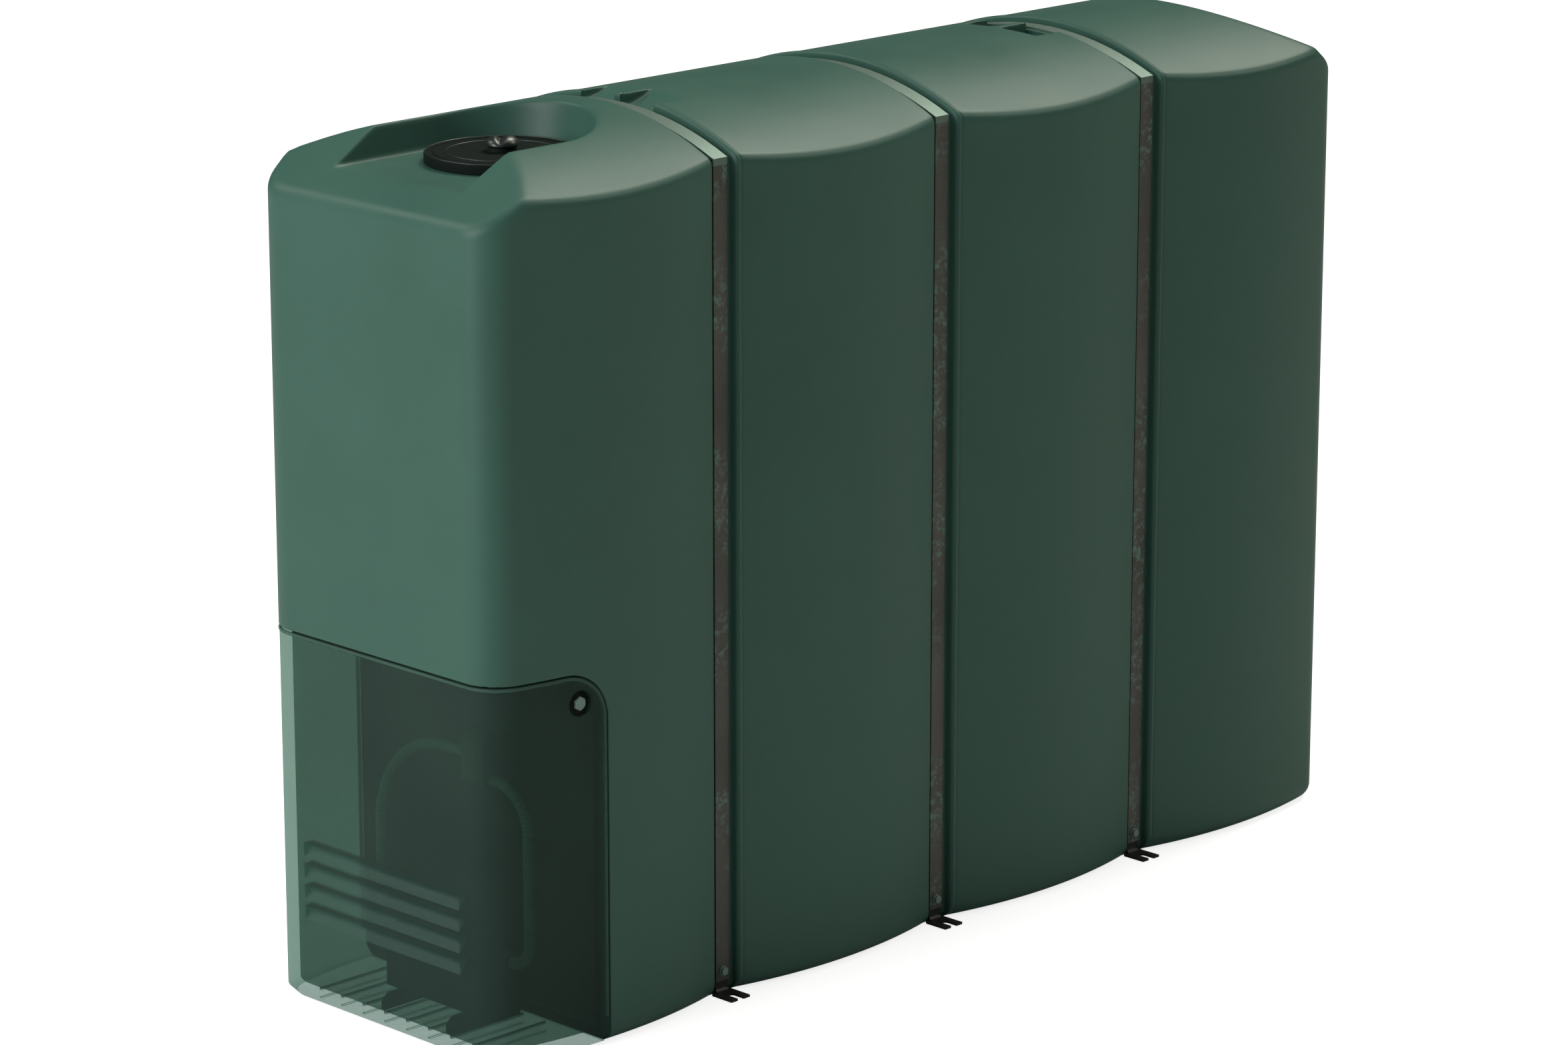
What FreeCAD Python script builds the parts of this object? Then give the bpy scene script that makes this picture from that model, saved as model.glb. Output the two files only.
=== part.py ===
"""Slimline water tank: a rotomoulded shell of four bays, held down by three steel straps.

The tank stands along X with its pump end at -X.  Z is up from the ground, the middle strap is at
x = 0 and the tank's centre plane is y = 0.  All sizes are millimetres.

The shell is the outer form minus the inner form.  Both come from the same functions, the inner
one drawn in by the wall, and the shell is then parted into walls, roofs, ends and floor.
"""
import FreeCAD
import Part
import os
import re

doc = FreeCAD.newDocument("SlimlineTank")

SIZES = {
    # Tank form
    "tank_length": 2996,
    "body_width": 888,
    "bay_radius": 1350,
    "strap_pitch": 750,
    "roof_apex": 2154,
    "roof_radius": 960,
    "wall": 8,
    "corner_radius": 100,
    "base_radius": 38,
    "eave_radius": 40,
    "bevel_share": 0.6,
    # Strap channels
    "channel_width": 74,
    "channel_depth": 18,
    # Sloped ends of the roof and the lid recess
    "slope_drop": 160,
    "slope_angle": 30,
    "recess_depth": 111,
    "recess_half_width": 218,
    "recess_draft": 8,
    "recess_to_strap": 348,
    # Scoops beside the first and third strap
    "scoop_length": 66,
    "scoop_width": 115,
    "scoop_drop": 28,
    "scoop_spacing": 135,
    # Pump recess and cover
    "cover_height": 925,
    "cover_depth": 325,
    "cover_round": 120,
    "cover_wall": 30,
    "cover_seam": 3,
    "cover_clearance": 0.4,
    "cover_lap": 20,
    "cover_bolt_back": 82,
    "cover_bolt_drop": 72,
    "bolt_well_radius": 32,
    "bolt_well_depth": 12,
    "louvre_count": 4,
    "louvre_top": 405,
    "louvre_pitch": 52.5,
    "louvre_height": 37,
    "louvre_width": 556,
    "louvre_depth": 28,
    "louvre_slit": 6,
    "floor_slot_count": 8,
    "floor_slot_pitch": 79,
    "floor_slot_width": 8,
    "floor_slot_front": 40,
    "floor_slot_length": 226,
    # Seams between the shell's pieces
    "floor_joint": 44,
    "roof_joint_drop": 204,
    "eave_joint": 94,
    "end_joint": 112,
    # Access lid
    "lid_to_strap": 330,
    "lid_radius": 184,
    "lid_height": 20,
    "lid_skirt": 7,
    "lid_bevel": 4,
    "lid_ring_radius": 131,
    "lid_ring_step": 2.5,
    "knob_radius": 41,
    "knob_top_radius": 20,
    "knob_dome": 18,
    "knob_stem_radius": 26,
    "knob_stem_height": 4,
    "thread_gap": 1.5,
    "neck_wall": 10,
    "neck_rise": 12,
    "fit_clearance": 0.3,
    # Straps and feet
    "strap_width": 45,
    "strap_thickness": 5,
    "strap_end": 34,
    "strap_bolt_height": 59,
    "bolt_hole_radius": 6.5,
    "foot_thickness": 6,
    "foot_width": 62,
    "foot_leg_width": 40,
    "foot_leg_height": 104,
    "foot_reach": 62,
    "foot_bend": 14,
    "foot_slot_width": 20,
    "foot_slot_length": 40,
    # Pump, fitting and hoses
    "pump_y": -43,
    "pump_length": 326,
    "pump_front_gap": 87,
    "pump_depth": 136,
    "pump_height": 202,
    "pump_round": 30,
    "skid_reach": 76,
    "skid_height": 38,
    "skid_bevel": 18,
    "near_skid_width": 28,
    "far_skid_width": 12,
    "far_skid_inset": 67,
    "pump_deck": 12,
    "port_height": 142,
    "port_radius": 26,
    "port_length": 14,
    "hose_radius": 14,
    "hose_sides": 8,
    "hose_offset": 87,
    "riser_y": 248,
    "riser_bend": 243,
    "return_y": -280,
    "return_bend": 112,
    "pump_bend": 55,
    "fitting_y": -122,
    "fitting_width": 76,
    "fitting_base": 598,
    "fitting_height": 125,
    "fitting_depth": 132,
    "fitting_bevel": 14,
    "return_height": 610,
}

FORMULAS = {
    "half_length": "tank_length / 2",
    "half_width": "body_width / 2",
    "bay_half_chord": "(strap_pitch - channel_width) / 2",
    "bay_edge": "half_width - bay_radius + sqrt(bay_radius ^ 2 - bay_half_chord ^ 2)",
    "channel_span": "bay_edge - channel_depth",
    "roof_axis": "roof_apex - roof_radius",
    "roof_joint": "roof_apex - roof_joint_drop",
    "slope_start": "roof_apex - slope_drop",
    "recess_floor": "roof_apex - recess_depth",
    "lid_x": "-strap_pitch - lid_to_strap",
    "recess_x": "-strap_pitch - recess_to_strap",
    "neck_radius": "lid_radius - lid_skirt - thread_gap",
    "lid_top": "recess_floor + lid_height",
    "cover_back": "cover_depth - half_length",
    "cover_inset": "cover_wall + cover_clearance",
    "recess_back": "cover_back - cover_lap",
    "recess_height": "cover_height - cover_lap",
    "strap_inside": "channel_span + fit_clearance",
    "strap_outside": "strap_inside + strap_thickness",
    "foot_inset": "foot_thickness + fit_clearance",
    "pump_front": "pump_front_gap + cover_wall - half_length",
    "hose_x": "recess_back - hose_offset",
}

sheet = doc.addObject("Spreadsheet::Sheet", "Sizes")
NAMES = list(SIZES) + list(FORMULAS)
NAME_PATTERN = re.compile(r"\b(%s)\b" % "|".join(sorted(NAMES, key=len, reverse=True)))


def fill_sheet():
    """Write the driving sizes as plain numbers and the worked-out ones as formulas, with aliases."""
    for row, name in enumerate(NAMES, start=1):
        value = str(SIZES[name]) if name in SIZES else "=" + FORMULAS[name]
        sheet.set("A%d" % row, name)
        sheet.set("B%d" % row, value)
        sheet.setAlias("B%d" % row, name)
    doc.recompute()


def formula(text):
    """Turn a formula in plain size names into one that reads the sheet."""
    return NAME_PATTERN.sub(r"Sizes.\1", str(text))


def bind(solid, formulas):
    """Bind properties of a document object to formulas."""
    for path, text in formulas.items():
        solid.setExpression(path, formula(text))
    return solid


def place(solid, x, y, z):
    """Bind an object's place."""
    return bind(solid, {"Placement.Base.x": x, "Placement.Base.y": y, "Placement.Base.z": z})


def box(name, x, y, z):
    """A box between (low, high) formulas along each axis."""
    solid = doc.addObject("Part::Box", name)
    for side, (low, high) in zip(("Length", "Width", "Height"), (x, y, z)):
        bind(solid, {side: "(%s) - (%s)" % (high, low)})
    return place(solid, x[0], y[0], z[0])


def cylinder(name, radius, height, x, y, z, axis="Z"):
    """A cylinder that starts at a place and runs along an axis."""
    solid = doc.addObject("Part::Cylinder", name)
    turn = {"Z": (FreeCAD.Vector(0, 0, 1), 0), "X": (FreeCAD.Vector(0, 1, 0), 90),
            "Y": (FreeCAD.Vector(1, 0, 0), -90)}[axis]
    solid.Placement = FreeCAD.Placement(FreeCAD.Vector(), FreeCAD.Rotation(*turn))
    bind(solid, {"Radius": radius, "Height": height})
    return place(solid, x, y, z)


def tunnel(name, radius):
    """What lies under the roof's arch: a cylinder along the tank and a block below its axis."""
    arch = cylinder(name + "_arch", radius, "2 * tank_length", "-tank_length", "0", "roof_axis", axis="X")
    below = box(name + "_below", ("-tank_length", "tank_length"), ("-(%s)" % radius, radius),
                ("0", "roof_axis"))
    return joined("MultiFuse", name + "_tunnel", [arch, below])


def joined(kind, name, shapes):
    """A boolean of several objects: kind is MultiFuse or MultiCommon."""
    result = doc.addObject("Part::" + kind, name)
    result.Shapes = shapes
    if kind == "MultiFuse":
        result.Refine = True
    return result


def cut(name, base, tool):
    """Base minus tool."""
    result = doc.addObject("Part::Cut", name)
    result.Base = base
    result.Tool = tool
    result.Refine = True
    return result


def reflected(name, base):
    """Base as seen in a mirror across the tank's middle."""
    result = doc.addObject("Part::Mirroring", name)
    result.Source = base
    result.Normal = FreeCAD.Vector(1, 0, 0)
    return result


def dressed(kind, name, base, picks):
    """Round or bevel edges of a base: kind is Fillet or Chamfer, each pick a test on an edge and a size."""
    doc.recompute()
    result = doc.addObject("Part::" + kind, name)
    result.Base = base
    edges = enumerate(base.Shape.Edges, start=1)
    result.Edges = [(n, size, size) for n, edge in edges for test, size in picks if test(edge)]
    return result


def amount(text):
    """The number that a sum of size names comes to."""
    terms = [term.strip() for term in text.split("+")]
    return sum(-getattr(sheet, t[1:]) if t[0] == "-" else getattr(sheet, t) for t in terms if t != "0")


def samples(edge):
    """Three points along an edge."""
    first, last = edge.FirstParameter, edge.LastParameter
    return [edge.valueAt(first + (last - first) * t) for t in (0.1, 0.5, 0.9)]


def in_plane(edge, axis, value):
    """Whether an edge lies in the plane where one coordinate has a value."""
    return all(abs(getattr(point, axis) - value) < 0.01 for point in samples(edge))


# Tank forms

def bay_ends(number, inset):
    """The formulas for a bay's two ends along X, drawn in by an inset."""
    middle = "(%d - 2.5) * strap_pitch" % number
    low = "-half_length" if number == 1 else middle + " - bay_half_chord"
    high = middle + " + bay_half_chord"
    return "%s + (%s)" % (low, inset), "%s - (%s)" % (high, inset)


def slope_tool(prefix, inset):
    """What lies above the sloped front of the roof, as a turned box."""
    tool = doc.addObject("Part::Box", prefix + "_slope")
    tool.Placement = FreeCAD.Placement(FreeCAD.Vector(), FreeCAD.Rotation(FreeCAD.Vector(0, 1, 0), -30))
    bind(tool, {"Length": "roof_apex", "Width": "2 * body_width", "Height": "roof_apex / 2",
                "Placement.Rotation.Angle": "slope_angle"})
    tool.Placement.Rotation.Axis = FreeCAD.Vector(0, -1, 0)
    back = "roof_apex / 4"
    return place(tool, "-half_length - %s * cos(slope_angle) + (%s) * sin(slope_angle)" % (back, inset),
                 "-body_width",
                 "slope_start - %s * sin(slope_angle) - (%s) * cos(slope_angle)" % (back, inset))


def bay_block(prefix, number, inset):
    """One bay before its edges are softened: two bulged sides under an arched roof, sloped at the front."""
    middle = "(%d - 2.5) * strap_pitch" % number
    name = "%s_bay_%d" % (prefix, number)
    near = cylinder(name + "_near", "bay_radius - (%s)" % inset, "roof_apex", middle,
                    "bay_radius - half_width", inset)
    far = cylinder(name + "_far", "bay_radius - (%s)" % inset, "roof_apex", middle,
                   "half_width - bay_radius", inset)
    roof = tunnel(name, "roof_radius - (%s)" % inset)
    limits = box(name + "_limits", bay_ends(number, inset), ("-body_width", "body_width"),
                 (inset, "roof_apex"))
    block = joined("MultiCommon", name + "_block", [limits, near, far, roof])
    return cut(name + "_sloped", block, slope_tool(name, inset)) if number == 1 else block


def bay_edges(block, number):
    """Tests for a bay's edges: its standing corners, those round its floor and those round its roof."""
    doc.recompute()
    bounds = block.Shape.BoundBox
    outer_end = bounds.XMin if number == 1 else None
    channel_ends = [x for x in (bounds.XMin, bounds.XMax) if x != outer_end]

    def corner(edge):
        """A standing edge at the tank's end."""
        return outer_end is not None and in_plane(edge, "x", outer_end) and \
            abs(samples(edge)[0].z - samples(edge)[2].z) > sheet.roof_apex / 4

    def foot(edge):
        """An edge round the floor, not beside a channel."""
        return in_plane(edge, "z", bounds.ZMin) and not any(in_plane(edge, "x", x) for x in channel_ends)

    def eave(edge):
        """An edge round the roof or the slope, not beside a channel."""
        low, middle, high = samples(edge)
        standing = abs(low.x - high.x) < 1 and abs(low.y - high.y) < 1
        return min(low.z, high.z) > sheet.slope_start / 2 and not standing and \
            not any(in_plane(edge, "x", x) for x in channel_ends)

    return corner, foot, eave


def soften(name, block, test, radius, inset):
    """Bevel edges as a rounding of a radius would, drawn in, as far as the wall leaves a bevel."""
    bevel = (radius - amount(inset)) * sheet.bevel_share
    return dressed("Chamfer", name, block, [(test, bevel)]) if bevel > 0 else block


def standing_form(name, block, number, inset):
    """A bay's block with its standing corners and the edges round its floor softened."""
    corner, foot, eave = bay_edges(block, number)
    if number == 1:
        block = dressed("Fillet", name + "_corners", block, [(corner, sheet.corner_radius - amount(inset))])
    return soften(name + "_foot", block, foot, sheet.base_radius, inset)


def bay_form(prefix, number, inset):
    """One bay with its edges softened."""
    name = "%s_bay_%d" % (prefix, number)
    block = bay_block(prefix, number, inset)
    eave = bay_edges(block, number)[2]
    block = standing_form(name, block, number, inset)
    return soften(name, block, eave, sheet.eave_radius, inset)


def neck_form(prefix, number, inset):
    """The tank inside one strap channel, narrower again behind the feet's legs."""
    name = "%s_neck_%d" % (prefix, number)
    middle = "(%d - 2) * strap_pitch" % number
    across = (middle + " - channel_width / 2 - " + inset, middle + " + channel_width / 2 + " + inset)
    arch = tunnel(name, "roof_radius - channel_depth - " + inset)
    top = box(name + "_limits", across, ("-channel_span + " + inset, "channel_span - " + inset),
              ("foot_leg_height + " + inset, "roof_apex"))
    low_half = "channel_span - foot_inset - " + inset
    low = box(name + "_low", across, ("-(%s)" % low_half, low_half), (inset, "foot_leg_height + " + inset))
    return [joined("MultiCommon", name, [top, arch]), low]


def tank_form(prefix, inset):
    """The whole tank as one solid, drawn in by an inset."""
    pieces = [bay_form(prefix, number, inset) for number in (1, 2, 3)]
    pieces.append(reflected(prefix + "_bay_4", pieces[0]))
    for number in (1, 2, 3):
        pieces += neck_form(prefix, number, inset)
    return joined("MultiFuse", prefix + "_form", pieces)


# What is cut from the forms

def lid_recess(prefix, grow):
    """The recess round the lid: a U in plan with drafted walls, open at the front."""
    base = "recess_floor - " + grow
    rise = "(roof_apex - recess_floor) * 1.5"
    round_end = doc.addObject("Part::Cone", prefix + "_recess_round")
    bind(round_end, {"Radius1": "recess_half_width + " + grow, "Height": rise,
                     "Radius2": "recess_half_width + %s + %s * tan(recess_draft)" % (grow, rise)})
    place(round_end, "recess_x", "0", base)
    straight = doc.addObject("Part::Wedge", prefix + "_recess_straight")
    half = "recess_half_width + " + grow
    half_top = half + " + %s * tan(recess_draft)" % rise
    bind(straight, {"Xmin": "-half_length - recess_to_strap", "Xmax": "0",
                    "X2min": "-half_length - recess_to_strap", "X2max": "0",
                    "Zmin": "-(%s)" % half, "Zmax": half,
                    "Z2min": "-(%s)" % half_top, "Z2max": half_top,
                    "Ymin": "0", "Ymax": rise})
    straight.Placement = FreeCAD.Placement(FreeCAD.Vector(), FreeCAD.Rotation(FreeCAD.Vector(1, 0, 0), 90))
    place(straight, "recess_x", "0", base)
    return joined("MultiFuse", prefix + "_recess", [round_end, straight])


def scoop(prefix, strap, side, row, grow):
    """A pocket beside a strap: deep at the channel, its floor rising to the roof away from it."""
    tool = doc.addObject("Part::Wedge", "%s_scoop_%d_%d" % (prefix, strap, row))
    half = "scoop_width / 2 + " + grow
    bind(tool, {"Xmin": "-channel_width", "Xmax": grow, "X2min": "-channel_width",
                "X2max": "scoop_length + %s + scoop_length" % grow,
                "Ymin": "0", "Ymax": "scoop_drop * 2",
                "Zmin": "-(%s)" % half, "Zmax": half, "Z2min": "-(%s)" % half, "Z2max": half})
    turn = FreeCAD.Rotation(FreeCAD.Vector(1, 0, 0), 90)
    if side < 0:
        turn = FreeCAD.Rotation(FreeCAD.Vector(0, 0, 1), 180).multiply(turn)
    tool.Placement = FreeCAD.Placement(FreeCAD.Vector(), turn)
    return place(tool, "(%d - 2) * strap_pitch + %d * channel_width / 2" % (strap, side),
                 "%g * scoop_spacing" % (row - 1.5),
                 "roof_axis + sqrt(roof_radius ^ 2 - (scoop_spacing / 2) ^ 2) - scoop_drop - " + grow)


def cover_zone(prefix, grow):
    """The space that the pump cover fills, up to its seam with the tank."""
    block = box(prefix + "_cover_block", ("-half_length * 1.1", "cover_back + " + grow),
                ("-half_width", "half_width"), ("-cover_wall", "cover_height + " + grow))
    doc.recompute()
    limits = block.Shape.BoundBox
    return dressed("Fillet", prefix + "_cover_zone", block,
                   [(lambda edge: in_plane(edge, "x", limits.XMax) and in_plane(edge, "z", limits.ZMax),
                     sheet.cover_round + amount(grow))])


def pump_space(prefix, grow):
    """The room in the tank's end where the pump stands."""
    return box(prefix + "_pump_space", ("-half_length * 1.1", "recess_back + " + grow),
               ("-half_width", "half_width"), ("-cover_wall", "recess_height + " + grow))


def finished_form(prefix, inset):
    """The tank form with its recess, scoops and the step behind the pump cover cut out."""
    drawn_in = inset + " + cover_inset"
    core = standing_form(prefix + "_step_core", bay_block(prefix + "_step", 1, drawn_in), 1, drawn_in)
    ring = cut(prefix + "_step", cover_zone(prefix, inset), core)
    scoops = [scoop(prefix, strap, side, row, inset) for strap, side in ((1, 1), (3, -1)) for row in (1, 2)]
    tools = joined("MultiFuse", prefix + "_tools",
                   [ring, pump_space(prefix, inset), lid_recess(prefix, inset)] + scoops)
    return cut(prefix + "_tank", tank_form(prefix, inset), tools)


# Shell pieces

def shell_nodes():
    """The tank's walls, roofs, ends and floor, parted from one shell."""
    hollow = cut("hollow_tank", finished_form("outer", "0"), finished_form("inner", "wall"))
    manhole = cylinder("manhole", "neck_radius - neck_wall", "roof_apex", "lid_x", "0", "slope_start / 2")
    shell = cut("shell", hollow, manhole)
    wide = ("-body_width", "body_width")
    walls_z = ("floor_joint", "roof_joint")
    front, back = "end_joint - half_length", "half_length - end_joint"
    liner_back, liner_top = "recess_back + 2 * wall", "recess_height + wall"
    nodes = {}

    def part(label, regions, without=None):
        """One piece of the shell: what lies in a region."""
        region = regions[0] if len(regions) == 1 else joined("MultiFuse", label + "_region", regions)
        if without is not None:
            region = cut(label + "_kept", region, without)
        nodes[label] = joined("MultiCommon", label, [shell, region])

    def region(name, x, y, z):
        """A region of the shell to part off."""
        return box(name + "_space", x, y, z)

    splits = ["-tank_length"] + ["%d * strap_pitch" % n for n in (-1, 0, 1)] + ["tank_length"]
    roof_edge = "half_width - eave_joint"
    roof_z = ("roof_joint", "2 * roof_apex")
    for bay in (1, 2, 3, 4):
        name = "roof_bay_%d" % bay
        across = ("-(%s)" % roof_edge, roof_edge)
        part(name, [region(name, (splits[bay - 1], splits[bay]), across, roof_z)])
    for side, half, eave in (("near", ("-body_width", "0"), ("-body_width", "-(%s)" % roof_edge)),
                             ("far", ("0", "body_width"), (roof_edge, "body_width"))):
        for bay in (1, 2, 3, 4):
            name = "%s_wall_bay_%d" % (side, bay)
            along = (front if bay == 1 else splits[bay - 1], back if bay == 4 else splits[bay])
            pump_room = None
            if bay == 1:
                pump_room = region(name + "_pump", ("-tank_length", liner_back), wide, ("0", liner_top))
            regions = [region(name, along, half, walls_z),
                       region(name + "_eave", (splits[bay - 1], splits[bay]), eave, roof_z)]
            part(name, regions, without=pump_room)
    part("front_end_wall", [region("front_end_wall", ("-tank_length", front), wide, (liner_top, "roof_joint"))])
    part("back_end_wall", [region("back_end_wall", (back, "tank_length"), wide, walls_z)])
    part("pump_recess_wall", [region("pump_recess_wall", ("-tank_length", liner_back), wide,
                                     ("floor_joint", liner_top))])
    part("tank_floor", [region("tank_floor", ("-tank_length", "tank_length"), wide, ("0", "floor_joint"))])
    return nodes


# Pump cover

def louvre(number):
    """A vent in the cover's front: a sloped face under a top edge, with a slit through the wall at its head."""
    tool = doc.addObject("Part::Wedge", "louvre_%d" % number)
    bind(tool, {"Xmin": "-louvre_depth", "Xmax": "0", "X2min": "-louvre_depth", "X2max": "louvre_depth",
                "Ymin": "0", "Ymax": "louvre_height", "Zmin": "-louvre_width / 2", "Zmax": "louvre_width / 2",
                "Z2min": "-louvre_width / 2", "Z2max": "louvre_width / 2"})
    tool.Placement = FreeCAD.Placement(FreeCAD.Vector(), FreeCAD.Rotation(FreeCAD.Vector(1, 0, 0), 90))
    head = "louvre_top - %d * louvre_pitch" % number
    slit = box("louvre_slit_%d" % number, ("-half_length", "2 * cover_wall - half_length"),
               ("-louvre_width / 2", "louvre_width / 2"), (head + " - louvre_slit", head))
    return [place(tool, "-half_length", "0", head + " - louvre_height"), slit]


def pump_cover():
    """The cover flush with the tank: a shell of the front bay's form with vents, slots and bolt wells."""
    body = standing_form("cover_outside", bay_block("cover_out", 1, "0"), 1, "0")
    hollow = standing_form("cover_inside", bay_block("cover_in", 1, "cover_wall"), 1, "cover_wall")
    shell = cut("cover_shell", body, hollow)
    piece = joined("MultiCommon", "cover_piece", [shell, cover_zone("fitted", "-cover_seam")])
    cuts = [tool for number in range(int(sheet.louvre_count)) for tool in louvre(number)]
    for number in range(int(sheet.floor_slot_count)):
        across = "(%d - (floor_slot_count - 1) / 2) * floor_slot_pitch" % number
        cuts.append(box("floor_slot_%d" % number,
                        ("floor_slot_front - half_length", "floor_slot_front + floor_slot_length - half_length"),
                        (across + " - floor_slot_width / 2", across + " + floor_slot_width / 2"),
                        ("-cover_wall", "2 * cover_wall")))
    for side in (-1, 1):
        well = cylinder("bolt_well_%d" % (side + 1), "bolt_well_radius", "2 * bolt_well_depth",
                        "cover_back - cover_bolt_back",
                        "%d * half_width - bolt_well_depth" % side, "cover_height - cover_bolt_drop", axis="Y")
        cuts.append(well)
    return cut("pump_cover", piece, joined("MultiFuse", "cover_cuts", cuts))


# Lid, straps and feet

def lid_nodes():
    """The neck on the recess floor and the lid: a skirted disc with a sunk middle and a tapered knob."""
    ring = cylinder("neck_outside", "neck_radius", "neck_rise", "lid_x", "0", "recess_floor")
    bore = cylinder("neck_bore", "neck_radius - neck_wall", "roof_apex", "lid_x", "0", "slope_start / 2")
    neck = cut("lid_neck", ring, bore)
    disc = cylinder("lid_disc", "lid_radius", "lid_height - fit_clearance", "lid_x", "0",
                    "recess_floor + fit_clearance")
    doc.recompute()
    top = disc.Shape.BoundBox.ZMax
    rim = dressed("Chamfer", "lid_rim", disc, [(lambda edge: in_plane(edge, "z", top), sheet.lid_bevel)])
    under = cylinder("lid_under", "lid_radius - lid_skirt", "neck_rise + fit_clearance", "lid_x", "0",
                     "recess_floor")
    middle = cylinder("lid_middle", "lid_ring_radius", "lid_height", "lid_x", "0", "lid_top - lid_ring_step")
    plate = cut("lid_plate", rim, joined("MultiFuse", "lid_cuts", [under, middle]))
    stem = cylinder("knob_stem", "knob_stem_radius", "lid_ring_step + knob_stem_height", "lid_x", "0",
                    "lid_top - lid_ring_step")
    dome = doc.addObject("Part::Cone", "knob_dome")
    bind(dome, {"Radius1": "knob_radius", "Radius2": "knob_top_radius", "Height": "knob_dome"})
    place(dome, "lid_x", "0", "lid_top + knob_stem_height")
    return {"lid_neck": neck, "access_lid": joined("MultiFuse", "access_lid", [plate, stem, dome])}


def strap(number):
    """A flat steel strap over the roof and down both sides, in its channel."""
    name = "strap_%d" % number
    middle = "(%d - 2) * strap_pitch" % number
    across = (middle + " - strap_width / 2", middle + " + strap_width / 2")

    def section(part_name, half, radius):
        """What lies inside one face of the strap."""
        limits = box(part_name + "_limits", across, ("-(%s)" % half, half), ("strap_end", "roof_apex"))
        arch = tunnel(part_name, radius)
        return joined("MultiCommon", part_name, [limits, arch])

    inner_radius = "roof_radius - channel_depth + fit_clearance"
    band = cut(name + "_band", section(name + "_outside", "strap_outside", inner_radius + " + strap_thickness"),
               section(name + "_inside", "strap_inside", inner_radius))
    hole = cylinder(name + "_holes", "bolt_hole_radius", "2 * body_width", middle, "-body_width",
                    "strap_bolt_height", axis="Y")
    return cut(name, band, hole)


def foot(label, strap_number, side):
    """A bent foot: a leg behind the strap's end and a slotted plate on the ground."""
    middle = "(%d - 2) * strap_pitch" % strap_number
    leg_out, leg_in = "strap_inside - fit_clearance", "strap_inside - fit_clearance - foot_thickness"
    toe = "strap_outside + foot_reach"

    def band(low, high):
        """The (low, high) pair across the tank on this foot's side."""
        return ("-(%s)" % high, "-(%s)" % low) if side < 0 else (low, high)

    def span(width):
        """The (low, high) pair of a width along the tank at this strap."""
        return (middle + " - %s / 2" % width, middle + " + %s / 2" % width)

    leg = box(label + "_leg", span("foot_leg_width"), band(leg_in, leg_out), ("0", "foot_leg_height"))
    plate = box(label + "_plate", span("foot_width"), band(leg_out, toe), ("0", "foot_thickness"))
    heel = box(label + "_heel", span("foot_leg_width"), band(leg_out, leg_out + " + foot_bend"),
               ("foot_thickness", "foot_thickness + foot_bend"))
    hollow = cylinder(label + "_hollow", "foot_bend", "foot_width", middle + " - foot_width / 2",
                      ("-1 * " if side < 0 else "") + "(%s + foot_bend)" % leg_out,
                      "foot_thickness + foot_bend", axis="X")
    slot = box(label + "_slot", span("foot_slot_width"),
               band(toe + " - foot_slot_length + foot_slot_width / 2", toe + " + foot_bend"),
               ("-foot_thickness", "2 * foot_thickness"))
    slot_end = cylinder(label + "_slot_end", "foot_slot_width / 2", "3 * foot_thickness", middle,
                        ("-1 * " if side < 0 else "") + "(%s - foot_slot_length + foot_slot_width / 2)" % toe,
                        "-foot_thickness")
    bolt = cylinder(label + "_bolt_hole", "bolt_hole_radius", "2 * body_width", middle, "-body_width",
                    "strap_bolt_height", axis="Y")
    web = cut(label + "_web", heel, hollow)
    blank = joined("MultiFuse", label + "_blank", [leg, plate, web])
    return cut(label, blank, joined("MultiFuse", label + "_cuts", [slot, slot_end, bolt]))


# Pump, fitting and hoses

def pump_nodes():
    """The pump's closed housing with a port at each end, on a deck with two skids that reach out in front."""
    low, high = "pump_y - pump_length / 2", "pump_y + pump_length / 2"
    along = ("pump_front", "pump_front + pump_depth")
    floor, top = "cover_wall", "cover_wall + skid_height"
    deck = box("pump_deck_plate", along, (low, high), (top + " - pump_deck", top))
    far_edge = high + " - far_skid_inset"
    skids = [box("pump_skid_%d" % n, ("pump_front - skid_reach", along[1]), across, (floor, top))
             for n, across in enumerate(((low, low + " + near_skid_width"),
                                         (far_edge + " - far_skid_width", far_edge)))]
    base = joined("MultiFuse", "pump_frame", [deck] + skids)
    block = box("pump_block", along, (low, high), (top, "cover_wall + pump_height"))
    doc.recompute()
    frame_box, block_top = base.Shape.BoundBox, block.Shape.BoundBox.ZMax
    base = dressed("Chamfer", "pump_base", base,
                   [(lambda edge: in_plane(edge, "x", frame_box.XMin) and in_plane(edge, "z", frame_box.ZMax),
                     sheet.skid_bevel)])
    housing = dressed("Chamfer", "pump_bevelled", block,
                      [(lambda edge: in_plane(edge, "z", block_top), sheet.pump_round)])
    ports = [cylinder("pump_port_%d" % n, "port_radius", "port_length", "hose_x", start,
                      "cover_wall + port_height", axis="Y")
             for n, start in enumerate((low + " - port_length", high))]
    return {"pump_base": base, "pump_housing": joined("MultiFuse", "pump_housing", [housing] + ports)}


def run(name, length, y, z, axis):
    """A straight run of hose from a place, along Y or Z, with flats round it."""
    solid = doc.addObject("Part::Prism", name)
    if axis == "Y":
        solid.Placement = FreeCAD.Placement(FreeCAD.Vector(), FreeCAD.Rotation(FreeCAD.Vector(1, 0, 0), -90))
    bind(solid, {"Polygon": "hose_sides", "Circumradius": "hose_radius", "Height": length})
    return place(solid, "hose_x", y, z)


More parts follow.
